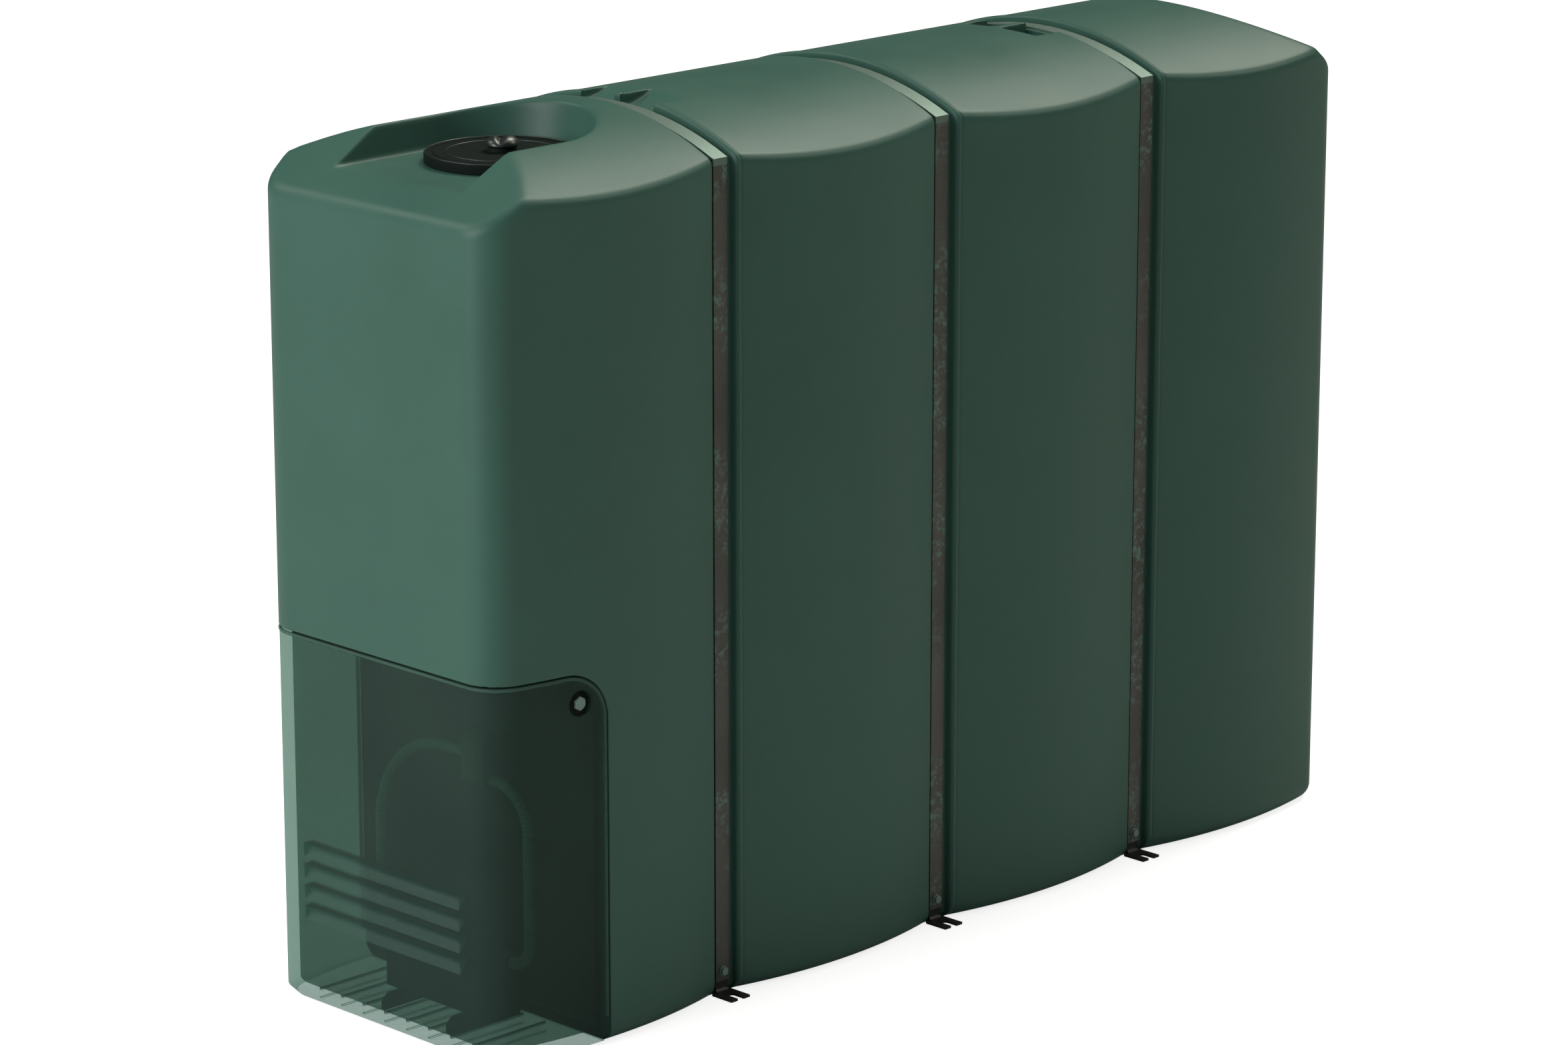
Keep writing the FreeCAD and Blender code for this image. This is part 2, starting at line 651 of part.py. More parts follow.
def bend(name, radius, y, z, start):
    """A quarter bend of hose about a centre: it turns about +X from a start direction, +-Y or +-Z."""
    section = doc.addObject("Part::RegularPolygon", name + "_section")
    if start[1] == "Z":
        section.Placement = FreeCAD.Placement(FreeCAD.Vector(), FreeCAD.Rotation(FreeCAD.Vector(1, 0, 0), -90))
    bind(section, {"Polygon": "hose_sides", "Circumradius": "hose_radius"})
    away = " %s %s" % (start[0], radius)
    place(section, "hose_x", y + (away if start[1] == "Y" else ""), z + (away if start[1] == "Z" else ""))
    arc = doc.addObject("Part::Revolution", name)
    arc.Source = section
    arc.Axis = FreeCAD.Vector(1, 0, 0)
    arc.Angle = 90
    arc.Solid = True
    return bind(arc, {"Base.x": "hose_x", "Base.y": y, "Base.z": z})


def hose_nodes():
    """The fitting on the recess wall and its two hoses, each down to a port of the pump."""
    fitting_block = box("fitting_block", ("recess_back - fitting_depth", "recess_back"),
                        ("fitting_y - fitting_width / 2", "fitting_y + fitting_width / 2"),
                        ("fitting_base", "fitting_base + fitting_height"))
    doc.recompute()
    face = fitting_block.Shape.BoundBox.XMin
    fitting = dressed("Chamfer", "outlet_fitting", fitting_block,
                      [(lambda edge: in_plane(edge, "x", face), sheet.fitting_bevel)])
    port = "cover_wall + port_height"
    crown = "fitting_base + fitting_height / 2"
    low = port + " + pump_bend"
    riser_high, return_high = crown + " - riser_bend", "return_height - return_bend"
    far_port, near_port = "pump_y + pump_length / 2 + port_length", "pump_y - pump_length / 2 - port_length"
    riser = [
        run("riser_port", "riser_y - pump_bend - (%s)" % far_port, far_port, port, "Y"),
        bend("riser_low_bend", "pump_bend", "riser_y - pump_bend", low, "-Z"),
        run("riser_pipe", "%s - (%s)" % (riser_high, low), "riser_y", low, "Z"),
        bend("riser_top_bend", "riser_bend", "riser_y - riser_bend", riser_high, "+Y"),
        run("riser_top", "riser_y - riser_bend - fitting_y - fitting_width / 2",
            "fitting_y + fitting_width / 2", crown, "Y"),
    ]
    fall = [
        run("return_start", "fitting_y - fitting_width / 2 - return_y - return_bend",
            "return_y + return_bend", "return_height", "Y"),
        bend("return_top_bend", "return_bend", "return_y + return_bend", return_high, "+Z"),
        run("return_pipe", "%s - (%s)" % (return_high, low), "return_y", low, "Z"),
        bend("return_low_bend", "pump_bend", "return_y + pump_bend", low, "-Y"),
        run("return_port", "%s - return_y - pump_bend" % near_port, "return_y + pump_bend", port, "Y"),
    ]
    return {"outlet_fitting": fitting, "riser_hose": joined("MultiFuse", "riser_hose", riser),
            "return_hose": joined("MultiFuse", "return_hose", fall)}


def build():
    """Make every piece, check it and write its STEP file."""
    fill_sheet()
    nodes = shell_nodes()
    nodes["pump_cover"] = pump_cover()
    nodes.update(lid_nodes())
    for number in (1, 2, 3):
        nodes["strap_%d" % number] = strap(number)
        for side, word in ((-1, "near"), (1, "far")):
            label = "%s_foot_%d" % (word, number)
            nodes[label] = foot(label, number, side)
    nodes.update(pump_nodes())
    nodes.update(hose_nodes())
    doc.recompute()
    for item in doc.Objects:
        if "Invalid" in item.State or "Error" in item.State:
            raise RuntimeError("%s failed" % item.Name)
    os.makedirs("parts", exist_ok=True)
    for label, item in nodes.items():
        item.Label = label
        if item.Shape.isNull() or not item.Shape.isValid():
            raise RuntimeError("%s has no valid shape" % label)
        item.Shape.exportStep("parts/%s.step" % label)


build()
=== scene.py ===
"""Looks of the slimline water tank: its moulded skin, lid, pump cover, hoses, fasteners and studio.

The skin is worked out from distance fields: a rough grid of guide points is laid round each piece
and every point is slid along the field's slope until it lies on the rounded form.
"""
import math

import bmesh
import bpy
import numpy as np
from bpy.props import FloatProperty, FloatVectorProperty, PointerProperty
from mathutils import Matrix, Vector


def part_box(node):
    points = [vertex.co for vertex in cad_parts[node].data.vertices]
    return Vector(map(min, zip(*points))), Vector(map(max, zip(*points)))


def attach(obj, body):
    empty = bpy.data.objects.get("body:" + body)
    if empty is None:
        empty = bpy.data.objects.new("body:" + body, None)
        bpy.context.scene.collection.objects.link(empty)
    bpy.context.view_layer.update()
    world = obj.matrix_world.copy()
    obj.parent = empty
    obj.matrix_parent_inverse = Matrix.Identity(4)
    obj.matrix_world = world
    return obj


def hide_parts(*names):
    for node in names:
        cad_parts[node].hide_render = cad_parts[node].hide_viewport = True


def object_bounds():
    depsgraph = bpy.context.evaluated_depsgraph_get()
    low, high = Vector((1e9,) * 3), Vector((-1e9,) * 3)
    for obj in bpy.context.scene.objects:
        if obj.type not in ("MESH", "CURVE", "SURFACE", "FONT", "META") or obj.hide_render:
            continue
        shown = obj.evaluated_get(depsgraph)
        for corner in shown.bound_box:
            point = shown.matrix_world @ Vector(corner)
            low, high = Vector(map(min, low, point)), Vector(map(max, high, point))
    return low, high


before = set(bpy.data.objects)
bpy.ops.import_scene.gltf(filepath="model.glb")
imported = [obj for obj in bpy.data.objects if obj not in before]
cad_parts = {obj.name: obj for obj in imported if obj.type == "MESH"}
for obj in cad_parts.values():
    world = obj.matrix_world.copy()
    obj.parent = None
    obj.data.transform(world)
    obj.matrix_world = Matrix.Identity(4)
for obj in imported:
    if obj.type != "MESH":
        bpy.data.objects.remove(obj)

bl_info = {
    "name": "Slimline water tank looks",
    "version": (1, 0, 0),
    "blender": (4, 5, 0),
    "location": "View3D > Sidebar > Tank",
    "description": "Skin, lid, cover, hoses, fasteners, finishes and studio of a slimline water tank",
    "category": "Object",
}

CAD_BOX = [list(corner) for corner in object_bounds()]
STRAP_X = [sum(corner[0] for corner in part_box("strap_%d" % n)) / 2 for n in (1, 2, 3)]
PITCH = STRAP_X[1] - STRAP_X[0]
HALF_LENGTH = CAD_BOX[1][0]
ROOF_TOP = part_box("roof_bay_2")[1][2]
FRONT_MIDDLE = -1.5 * PITCH
MM = 0.001
BLACK, WHITE = (0.0, 0.0, 0.0), (1.0, 1.0, 1.0)

# Angles of the roof's sloped ends and of the lid recess's walls
SLOPE, RECESS_LEAN = math.radians(30), math.radians(8)

# The front bay's top meets its lower pieces at a level; its wall over the cover has a thickness and
# a rounded seam
LEVEL, WALL, SEAM_RADIUS = 1.7, 0.03, 0.004

# Pockets in the roof beside a strap: their middles, half width, depth and length
POCKET_MIDDLE, POCKET_HALF, POCKET_DEPTH, POCKET_LENGTH = 0.0675, 0.0575, 0.028, 0.1

# Guide points round the floor's edge: heights above it, and distances in from the side
FOOT = np.array([70, 52, 42, 34, 27, 21, 15, 10, 5, 2]) * MM
INWARD = np.array([0, 2, 5, 10, 15, 21, 27, 34, 42, 52, 70, 120, 220]) * MM


def length(label, text, default):
    """A size in metres that a user may change."""
    return FloatProperty(name=label, description=text, default=default, unit="LENGTH", precision=4)


def colour(label, text, default):
    """A linear colour that a user may change."""
    return FloatVectorProperty(name=label, description=text, default=default, size=3, subtype="COLOR",
                               min=0.0, max=1.0)


def amount(label, text, default, **more):
    """A power or a strength that a user may change."""
    return FloatProperty(name=label, description=text, default=default, min=0.0, **more)


class TankForm(bpy.types.PropertyGroup):
    """Sizes of the moulded skin and the pieces on it."""
    half_width: length("Half width", "Half the tank's width at the middle of a bay", 0.444)
    bay_radius: length("Bay radius", "Radius of a bay's bulged side in plan", 1.35)
    roof_radius: length("Roof radius", "Radius of the arched roof", 0.89)
    strap_arch: length("Strap arch", "Radius of the arch that the strap channels follow", 0.96)
    channel_width: length("Channel width", "Width of the groove that a strap lies in", 0.074)
    channel_depth: length("Channel depth", "Depth of the groove that a strap lies in", 0.018)
    corner_radius: length("Corner radius", "Rounding of the standing corners", 0.1)
    eave_radius: length("Eave radius", "Rounding where the roof meets the sides", 0.03)
    front_eave_radius: length("End eave radius", "Rounding where a sloped end meets its end face", 0.043)
    foot_radius: length("Foot radius", "Rounding round the floor", 0.038)
    crest_radius: length("Crest radius", "Rounding where the roof meets its sloped ends", 0.04)
    bay_edge_radius: length("Bay edge radius", "Rounding beside a strap channel", 0.006)
    bead_height: length("Bead height", "Rise of the bead on the +X side of a strap", 0.0035)
    slope_start: length("Slope start", "Height of the roof's slope at an end face", 1.994)
    recess_floor: length("Recess floor", "Height of the floor round the lid", 2.043)
    recess_half: length("Recess half width", "Half the width of the lid recess", 0.218)
    recess_middle: length("Recess middle", "Place of the recess's round end along the tank", -1.098)
    recess_rim: length("Recess rim radius", "Rounding of the recess's upper edge", 0.008)
    cover_back: length("Cover back", "Place of the pump cover's rear seam along the tank", -1.173)
    cover_top: length("Cover top", "Height of the pump cover's upper seam", 0.925)
    cover_round: length("Cover round", "Rounding of the cover's rear upper corner", 0.12)
    hose_radius: length("Hose radius", "Radius of the hoses at their ribs", 0.0145)
    rib_pitch: length("Rib pitch", "Distance from one hose rib to the next", 0.0105)


class TankFinish(bpy.types.PropertyGroup):
    """Colours of the finishes."""
    moulded: colour("Moulded green", "The tank's plastic", (0.067, 0.174, 0.136))
    cover: colour("Cover tint", "The light that a face of the pump cover lets through", (0.456, 0.57, 0.527))
    lid: colour("Lid black", "The lid's plastic", (0.01, 0.016, 0.0135))
    strap: colour("Strap steel", "The straps' weathered zinc", (0.158, 0.154, 0.142))
    foot: colour("Foot steel", "The feet's dull steel", (0.05, 0.052, 0.05))
    bolt: colour("Bolt steel", "The bolts' bright zinc", (0.28, 0.42, 0.36))
    pump: colour("Pump black", "The pump's housing", (0.02, 0.025, 0.024))
    hose: colour("Hose grey", "The ribbed hoses and, darkened, their fitting", (0.32, 0.58, 0.48))


class TankStudio(bpy.types.PropertyGroup):
    """Lamps and backdrop."""
    key: amount("Key lamp", "Power of the lamp in front of the pump end", 230.0, subtype="POWER")
    side: amount("Side lamp", "Power of the lamp beside the tank", 4.0, subtype="POWER")
    top: amount("Top lamp", "Power of the lamp overhead", 80.0, subtype="POWER")
    back: amount("Back light", "Strength of the far light behind the roof", 1.3)
    rim: amount("Rim lights", "Strength of the far lights that draw the eaves", 0.4)
    sky: amount("Sky", "Strength of the even light from all round", 0.05)


def soft_max(a, b, radius, lean=0.0):
    """The meeting of two faces: the larger of two distances, with the corner rounded to a radius.

    lean is the cosine c of the angle between the faces' normals. With u = radius + a and v = radius + b the
    rounding is sqrt((u^2 + v^2 - 2 c u v) / (1 - c^2)) - radius.
    """
    u, v = radius + a, radius + b
    bend = np.sqrt(np.maximum(u * u + v * v - 2 * lean * u * v, 0) / (1 - lean * lean)) - radius
    return np.where((u > lean * v) & (v > lean * u), bend, np.maximum(a, b))


def smooth_step(x, low, high):
    """0 below low, 1 above high, and 3t^2 - 2t^3 between."""
    t = np.clip((x - low) / (high - low), 0, 1)
    return t * t * (3 - 2 * t)


def slope_of(field, p, h):
    """A field's slope at points, taken over a distance h to each side."""
    return np.stack([field(p + h * axis) - field(p - h * axis) for axis in np.eye(3)], -1) / (2 * h)


def settle(points, field, rounds=7):
    """Slide points onto a field's zero: p - F grad(F) / |grad(F)|^2, with the slope taken over 0.2 mm."""
    p = np.array(points, float)
    for _ in range(rounds):
        slope = slope_of(field, p, 0.1 * MM)
        step = field(p) / np.maximum((slope * slope).sum(-1), 0.2)
        p -= np.clip(step, -0.02, 0.02)[..., None] * slope
    return p


def grid_faces(rows, columns):
    """Corner numbers of the quads of a grid of rings stored row by row; the last column joins the first."""
    r = np.arange(rows - 1)[:, None] * columns
    c = np.arange(columns)[None, :]
    n = (c + 1) % columns
    return np.stack([r + c, r + n, r + columns + n, r + columns + c], -1).reshape(-1, 4)


def new_piece(name, verts, faces, look, replaced=(), sharp=40.0):
    """A closed mesh object at the origin from corner places and faces, smooth but for edges past an angle.

    The faces are turned over when they enclose a negative volume, so that they all look outward.
    """
    mesh = bpy.data.meshes.new(name)
    mesh.from_pydata(np.asarray(verts, float).reshape(-1, 3).tolist(), [], faces)
    mesh.validate()
    solid = bmesh.new()
    solid.from_mesh(mesh)
    if solid.calc_volume(signed=True) < 0:
        mesh.flip_normals()
    solid.free()
    mesh.materials.append(finish(look))
    mesh.polygons.foreach_set("use_smooth", np.ones(len(mesh.polygons), bool))
    mesh.set_sharp_from_angle(angle=math.radians(sharp))
    mesh.update()
    piece = bpy.data.objects.new(name, mesh)
    bpy.context.scene.collection.objects.link(piece)
    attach(piece, "root")
    if replaced:
        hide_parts(*replaced)
    return piece


def ring_piece(name, points, look, replaced=(), sharp=40.0):
    """A closed piece from a grid of rings (rows, columns, xyz), each end closed by a fan to its middle."""
    rows, columns = points.shape[:2]
    verts = np.concatenate([points.reshape(-1, 3), points[:1].mean(1), points[-1:].mean(1)])
    c = np.arange(columns)
    n = (c + 1) % columns
    last = (rows - 1) * columns
    faces = grid_faces(rows, columns).tolist()
    faces += np.stack([n, c, np.full(columns, rows * columns)], -1).tolist()
    faces += np.stack([last + c, last + n, np.full(columns, rows * columns + 1)], -1).tolist()
    return new_piece(name, verts, faces, look, replaced, sharp)


def nodes_of(name):
    """A new material, its emptied node tree and the output node in it."""
    material = bpy.data.materials.new(name)
    material.use_nodes = True
    tree = material.node_tree
    tree.nodes.clear()
    return material, tree, tree.nodes.new("ShaderNodeOutputMaterial")


def wired(tree, kind, inputs, output, **settings):
    """An output of a new shader node whose inputs are each given a link, a number or a colour."""
    made = tree.nodes.new("ShaderNode" + kind)
    for key, value in settings.items():
        setattr(made, key, value)
    for key, value in inputs.items():
        if isinstance(value, bpy.types.NodeSocket):
            tree.links.new(value, made.inputs[key])
        else:
            made.inputs[key].default_value = value if np.isscalar(value) else (*value, 1.0)
    return made.outputs[output]


def noise(tree, place, scale, detail=4.0, rough=0.55):
    """A noise pattern on a place, scale in lumps a metre."""
    return wired(tree, "TexNoise", {"Vector": place, "Scale": scale, "Detail": detail,
                                    "Roughness": rough}, "Fac")


def ramp(tree, source, dark, light, low=0.3, high=0.7):
    """A pattern between two positions made a colour from dark to light."""
    colours = wired(tree, "ValToRGB", {"Fac": source}, "Color")
    for stop, place, tint in zip(colours.node.color_ramp.elements, (low, high), (dark, light)):
        stop.position, stop.color = place, (*tint, 1.0)
    return colours


def spread(tree, source, low, high):
    """A pattern's 0.3 to 0.7 mapped to a range of numbers."""
    return wired(tree, "MapRange", {"Value": source, "From Min": 0.3, "From Max": 0.7, "To Min": low,
                                    "To Max": high}, "Result")


def relief(tree, source, strength, depth):
    """A pattern made the relief of a surface."""
    return wired(tree, "Bump", {"Height": source, "Strength": strength, "Distance": depth}, "Normal")


def maths(tree, operation, a, b):
    """The result of a sum or a test on two values."""
    return wired(tree, "Math", {0: a, 1: b}, "Value", operation=operation)


def within(tree, source, low, high):
    """1 where a number lies between two others, else 0."""
    above, below = maths(tree, "GREATER_THAN", source, low), maths(tree, "LESS_THAN", source, high)
    return maths(tree, "MULTIPLY", above, below)


def blend(tree, share, a, b, way="MIX"):
    """A share of one colour laid on another."""
    return wired(tree, "Mix", {"Factor": share, "A": a, "B": b}, "Result", data_type="RGBA", blend_type=way)


def scaled(tint, factor):
    """A colour made lighter or darker."""
    return tuple(min(1.0, c * factor) for c in tint)


def grained(name, tint, rough, patch, grain, grain_scale, depth, metal=0.0, specular=0.5, scuff=None,
            painted_top_sheen=None):
    """A matt surface: patches of colour, a fine grain in colour and relief, uneven roughness, scuffs and, if
    asked, a painted sheen.

    scuff is the colour of rubbed spots, which lie where two noise patterns are both high; the last argument
    is a painted sheen, a lighter colour painted on all that lies above the eaves, standing in for light that
    falls on the top.
    """
    material, tree, output = nodes_of(name)
    place = wired(tree, "TexCoord", {}, "Object")
    wide = noise(tree, place, 3.2, 5.0)
    fine = noise(tree, place, grain_scale, 2.0, 0.7)
    base = ramp(tree, wide, scaled(tint, 1 - patch), scaled(tint, 1 + patch))
    tone = blend(tree, 1.0, base, ramp(tree, fine, (1 - grain,) * 3, WHITE), "MULTIPLY")
    if scuff is not None:
        spots = ramp(tree, noise(tree, place, 55.0, 5.0, 0.7), BLACK, WHITE, 0.5, 0.64)
        zones = ramp(tree, noise(tree, place, 4.5, 3.0), BLACK, WHITE, 0.44, 0.58)
        tone = blend(tree, maths(tree, "MULTIPLY", spots, zones), tone, scuff)
    # Painted sheen: all above the eaves is painted a lighter colour, standing in for light on the top
    if painted_top_sheen is not None:
        above = within(tree, wired(tree, "SeparateXYZ", {"Vector": place}, "Z"), 2.041, 3.0)
        tone = blend(tree, above, tone, ramp(tree, fine, scaled(painted_top_sheen, 0.8), painted_top_sheen))
    shader = wired(tree, "BsdfPrincipled", {
        "Base Color": tone, "Roughness": spread(tree, wide, rough - 0.04, rough + 0.05),
        "Normal": relief(tree, fine, 0.35, depth), "Metallic": metal, "Specular IOR Level": specular}, "BSDF")
    tree.links.new(shader, output.inputs["Surface"])
    return material


def see_through(name, tint, body, share, bare=None, specular=0.5):
    """Clear plastic: most light passes with a tint, a share scatters on a satin surface.

    bare is a box (low corner, high corner) in which the surface lets all light pass.
    """
    material, tree, output = nodes_of(name)
    place = wired(tree, "TexCoord", {}, "Object")
    wide = noise(tree, place, 2.4, 4.0)
    fine = noise(tree, place, 700.0, 2.0, 0.7)
    satin = wired(tree, "BsdfPrincipled", {
        "Base Color": ramp(tree, wide, scaled(body, 0.85), scaled(body, 1.15)),
        "Roughness": spread(tree, wide, 0.3, 0.42), "Normal": relief(tree, fine, 0.2, 0.0004),
        "Specular IOR Level": specular}, "BSDF")
    if bare is not None:
        axes = wired(tree, "SeparateXYZ", {"Vector": place}, "X").node.outputs
        x, y, z = [within(tree, axes[i], bare[0][i], bare[1][i]) for i in range(3)]
        inside = maths(tree, "MULTIPLY", maths(tree, "MULTIPLY", x, y), z)
        tint = blend(tree, inside, tint, WHITE)
        share = wired(tree, "Mix", {"Factor": inside, "A": share, "B": 0.0}, "Result")
    clear = wired(tree, "BsdfTransparent", {"Color": tint}, "BSDF")
    both = wired(tree, "MixShader", {"Fac": share, 1: clear, 2: satin}, "Shader")
    tree.links.new(both, output.inputs["Surface"])
    return material


FINISHES = {}


def finish(name):
    """The material of a finish, made the first time it is asked for."""
    if name not in FINISHES:
        tints = bpy.context.scene.tank_finish
        # recess is painted shade: the moulded green darkened to 0.3 for the pump room's walls and the lid's
        # neck, which lie in shade
        recess, fitting = scaled(tints.moulded, 0.3), scaled(tints.hose, 0.4)
        slots = ((-1.47, -0.34, 0.003), (-1.1, 0.34, 0.021))
        FINISHES[name] = {
            "moulded": lambda: grained("tank_moulded", tints.moulded, 0.38, 0.05, 0.16, 900.0, 0.0009,
                                       specular=0.35),
            # The recess finish is painted shade, a darker copy of the moulded green
            "recess": lambda: grained("tank_recess_painted_shade", recess, 0.6, 0.05, 0.12, 900.0, 0.0006),
            "cover": lambda: see_through("cover_tinted", tints.cover, (0.14, 0.246, 0.21), 0.2, slots),
            "vent": lambda: see_through("vent_satin", WHITE, (0.09, 0.185, 0.155), 0.32, specular=0.08),
            "lip": lambda: see_through("lip_satin", (0.6, 0.68, 0.65), (0.14, 0.28, 0.23), 0.47,
                                       specular=0.15),
            "lid": lambda: grained("lid_matt", tints.lid, 0.6, 0.1, 0.2, 1100.0, 0.0004, specular=0.08),
            "knob": lambda: grained("knob_gloss", tints.lid, 0.36, 0.1, 0.1, 1100.0, 0.0001, specular=0.9),
            # The strap: real scuffs, and a painted sheen that lightens its top above the eaves
            "strap": lambda: grained("strap_weathered", tints.strap, 0.45, 0.25, 0.35, 260.0, 0.0004,
                                     metal=0.5, scuff=(0.19, 0.33, 0.27), painted_top_sheen=(0.2, 0.285, 0.245)),
            "foot": lambda: grained("foot_dull", tints.foot, 0.5, 0.25, 0.3, 300.0, 0.0004, metal=0.3),
            "bolt": lambda: grained("bolt_bright", tints.bolt, 0.4, 0.1, 0.25, 600.0, 0.0003, metal=0.2),
            "pump": lambda: grained("pump_matt", tints.pump, 0.5, 0.1, 0.15, 800.0, 0.0004),
            "fitting": lambda: grained("fitting_matt", fitting, 0.5, 0.1, 0.15, 900.0, 0.0003),
            "hose": lambda: grained("hose_ribbed", tints.hose, 0.45, 0.1, 0.15, 900.0, 0.0003),
        }[name]()
    return FINISHES[name]


def dress(look, *node_names):
    """Give CAD nodes a finish."""
    for node_name in node_names:
        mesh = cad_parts[node_name].data
        mesh.materials.clear()
        mesh.materials.append(finish(look))


def bay_width(form, away):
    """Half width of a bay at distances along the tank from the bay's middle."""
    return form.half_width - form.bay_radius + np.sqrt(form.bay_radius ** 2 - away ** 2)


def arch_height(radius, y, inset=0.0):
    """Height of an arch through the roof's top, or of one inside it, at distances from the tank's middle."""
    return ROOF_TOP - radius + np.sqrt(np.maximum((radius - inset) ** 2 - y * y, 0))


def slope_height(form, x):
    """Height of the front slope's plane at places along the tank."""
    return form.slope_start + (x + HALF_LENGTH) * math.tan(SLOPE)


def roof_field(p, radius, drop=0.0):
    """Distance outside an arched roof: a lying cylinder along the tank, upright below its axis."""
    return np.hypot(p[..., 1], np.maximum(p[..., 2] - ROOF_TOP + radius, 0)) - radius + drop


def side_field(form, p, middle):
    """Distance outside a bay's two bulged sides: arcs in plan about the bay's middle."""
    across = np.abs(p[..., 1]) + form.bay_radius - form.half_width
    return np.hypot(p[..., 0] - middle, across) - form.bay_radius


def neck_field(form, p):
    """Distance outside the tank in a strap channel, drawn in by 6.3 mm behind the feet's legs."""
    drawn_in = 0.0063 * (1 - smooth_step(p[..., 2], 0.1, 0.106))
    half = bay_width(form, (PITCH - form.channel_width) / 2) - form.channel_depth - drawn_in
    body = soft_max(np.abs(p[..., 1]) - half, roof_field(p, form.strap_arch, form.channel_depth), 0.01)
    return soft_max(body, -p[..., 2], 0.004)


def scoop_depth(away):
    """Depth of a pocket at distances d from its strap: depth (1 - (d / length)^2), level under the strap."""
    return POCKET_DEPTH * (1 - (np.maximum(away, 0) / POCKET_LENGTH) ** 2)


def scoop_field(form, p, edge, way):
    """Distance outside two pockets beside a strap: upright sides and a floor that rises to the roof."""
    away = (p[..., 0] - edge) * way
    floor = (arch_height(form.roof_radius, POCKET_MIDDLE) - scoop_depth(away) - p[..., 2]) * 0.92
    sides = np.abs(np.abs(p[..., 1]) - POCKET_MIDDLE) - POCKET_HALF
    return np.maximum(soft_max(sides, floor, 0.006), -0.016 - away)


def end_field(form, p):
    """Distance outside the front bay's form: sides, end face, arched roof and its slope of 30 degrees."""
    side = side_field(form, p, FRONT_MIDDLE)
    end = -HALF_LENGTH - p[..., 0]
    plan = soft_max(side, end, form.corner_radius, (HALF_LENGTH + FRONT_MIDDLE) / form.bay_radius)
    slope = (p[..., 2] - slope_height(form, p[..., 0])) * math.cos(SLOPE)
    roof = roof_field(p, form.roof_radius)
    top = soft_max(roof, slope, form.crest_radius, 0.85)
    ahead = np.maximum(end + form.corner_radius, 0)
    across = np.maximum(side + form.corner_radius, 1e-6)
    reach = np.hypot(ahead, across)
    sloped = smooth_step(slope - roof, -0.03, 0.03)
    arched = (1 - sloped) * form.half_width / form.roof_radius
    lean = (sloped * math.sin(SLOPE) * ahead + arched * across) / reach
    radius = form.eave_radius + (form.front_eave_radius - form.eave_radius) * sloped * ahead / reach
    return soft_max(plan, top, radius, lean)


def bay_field(form, p, number):
    """Distance outside one bay: bulged sides, arched roof, rounded ends, bead, groove and pockets."""
    x, z = p[..., 0], p[..., 2]
    half = form.channel_width / 2
    low = STRAP_X[number - 2] + half
    if number == 4:
        body = end_field(form, p * (-1, 1, 1))
    else:
        side = side_field(form, p, (number - 2.5) * PITCH)
        lean = form.half_width / form.roof_radius
        body = soft_max(side, roof_field(p, form.roof_radius), form.eave_radius, lean)
    body = soft_max(body, -z, form.foot_radius)
    away = x - low
    bead_place, bead_width, groove_place, groove_width, groove_depth = 0.0065, 0.0045, 0.0165, 0.002, 0.0012
    bead = form.bead_height * smooth_step(z, 0.02, 0.07) * np.exp(-((away - bead_place) / bead_width) ** 2)
    body = body - bead + groove_depth * np.exp(-((away - groove_place) / groove_width) ** 2)
    body = soft_max(body, low - x, 0.005)
    if number < 4:
        body = soft_max(body, x - STRAP_X[number - 1] + half, form.bay_edge_radius)
    ends = np.maximum(low - form.channel_width - 0.0005 - x, x - low - 0.02)
    body = np.minimum(body, np.maximum(neck_field(form, p), ends))
    if number < 4:
        edge, way = (low, 1) if number == 2 else (STRAP_X[2] - half, -1)
        body = soft_max(body, -scoop_field(form, p, edge, way), 0.003)
    return body


def half_section(form, width, inset, arch, pocket, cap):
    """Guide points of half a section, roof middle to floor middle, for rows of half widths and insets.

    Columns crowd at the pockets' sides, at the eave and at the foot. arch goes from 0 on the straps' arch
    to 1 on the roof's, pocket is each row's pocket depth and cap the height that its eave stays under. The
    count of columns on the roof comes third.
    """
    flat = np.array([0, 4, 7.5, 9.2, 10, 10, 10, 10, 10, 11.5, 15, 22, 40, 67, 95, 112, 120, 123.5,
                     125, 125, 125, 125, 125, 125.8, 127.5, 131, 140, 155]) * MM
    weight = np.array([0, 0, 0, 0, 0, .25, .5, .75, 1, 1, 1, 1, 1, 1, 1, 1, 1, 1,
                       1, .75, .5, .25, 0, 0, 0, 0, 0, 0])
    near = np.array([75, 60, 48, 39, 31, 24, 18, 12, 7, 3]) * MM
    down = np.array([0, 3, 7, 12, 18, 24, 31, 39, 48, 60, 80]) * MM
    w, share, inset = width[:, None], arch[:, None], inset[:, None]
    ones = np.ones_like(w)

    def roof_z(y):
        roof, strap = (arch_height(radius, y, inset) for radius in (form.roof_radius, form.strap_arch))
        return share * roof + (1 - share) * strap

    between = flat[-1] + (w - near[0] - flat[-1]) * np.linspace(0, 1, 8)[1:-1]
    roof_y = np.concatenate([ones * flat, between, w - near], 1)
    top = roof_z(roof_y)
    top[:, :len(flat)] -= pocket[:, None] * weight
    eave = np.minimum(roof_z(w), cap[:, None]) - down
    wall = eave[:, -1:] + (FOOT[0] - eave[:, -1:]) * np.linspace(0, 1, 12)[1:-1]
    side = np.concatenate([eave, wall, ones * FOOT], 1)
    y = np.concatenate([roof_y, w + 0 * side, w - INWARD, 0 * w], 1)
    z = np.concatenate([top, side, 0 * ones * INWARD, 0 * w], 1)
    return y, z, roof_y.shape[1]


def mirrored(x, y, z):
    """A half section made closed rings: down the near side, along the floor, up the far side."""
    half = np.stack([x, -y, z], -1)
    return np.concatenate([half, half[:, -2:0:-1] * (1, -1, 1)], 1)


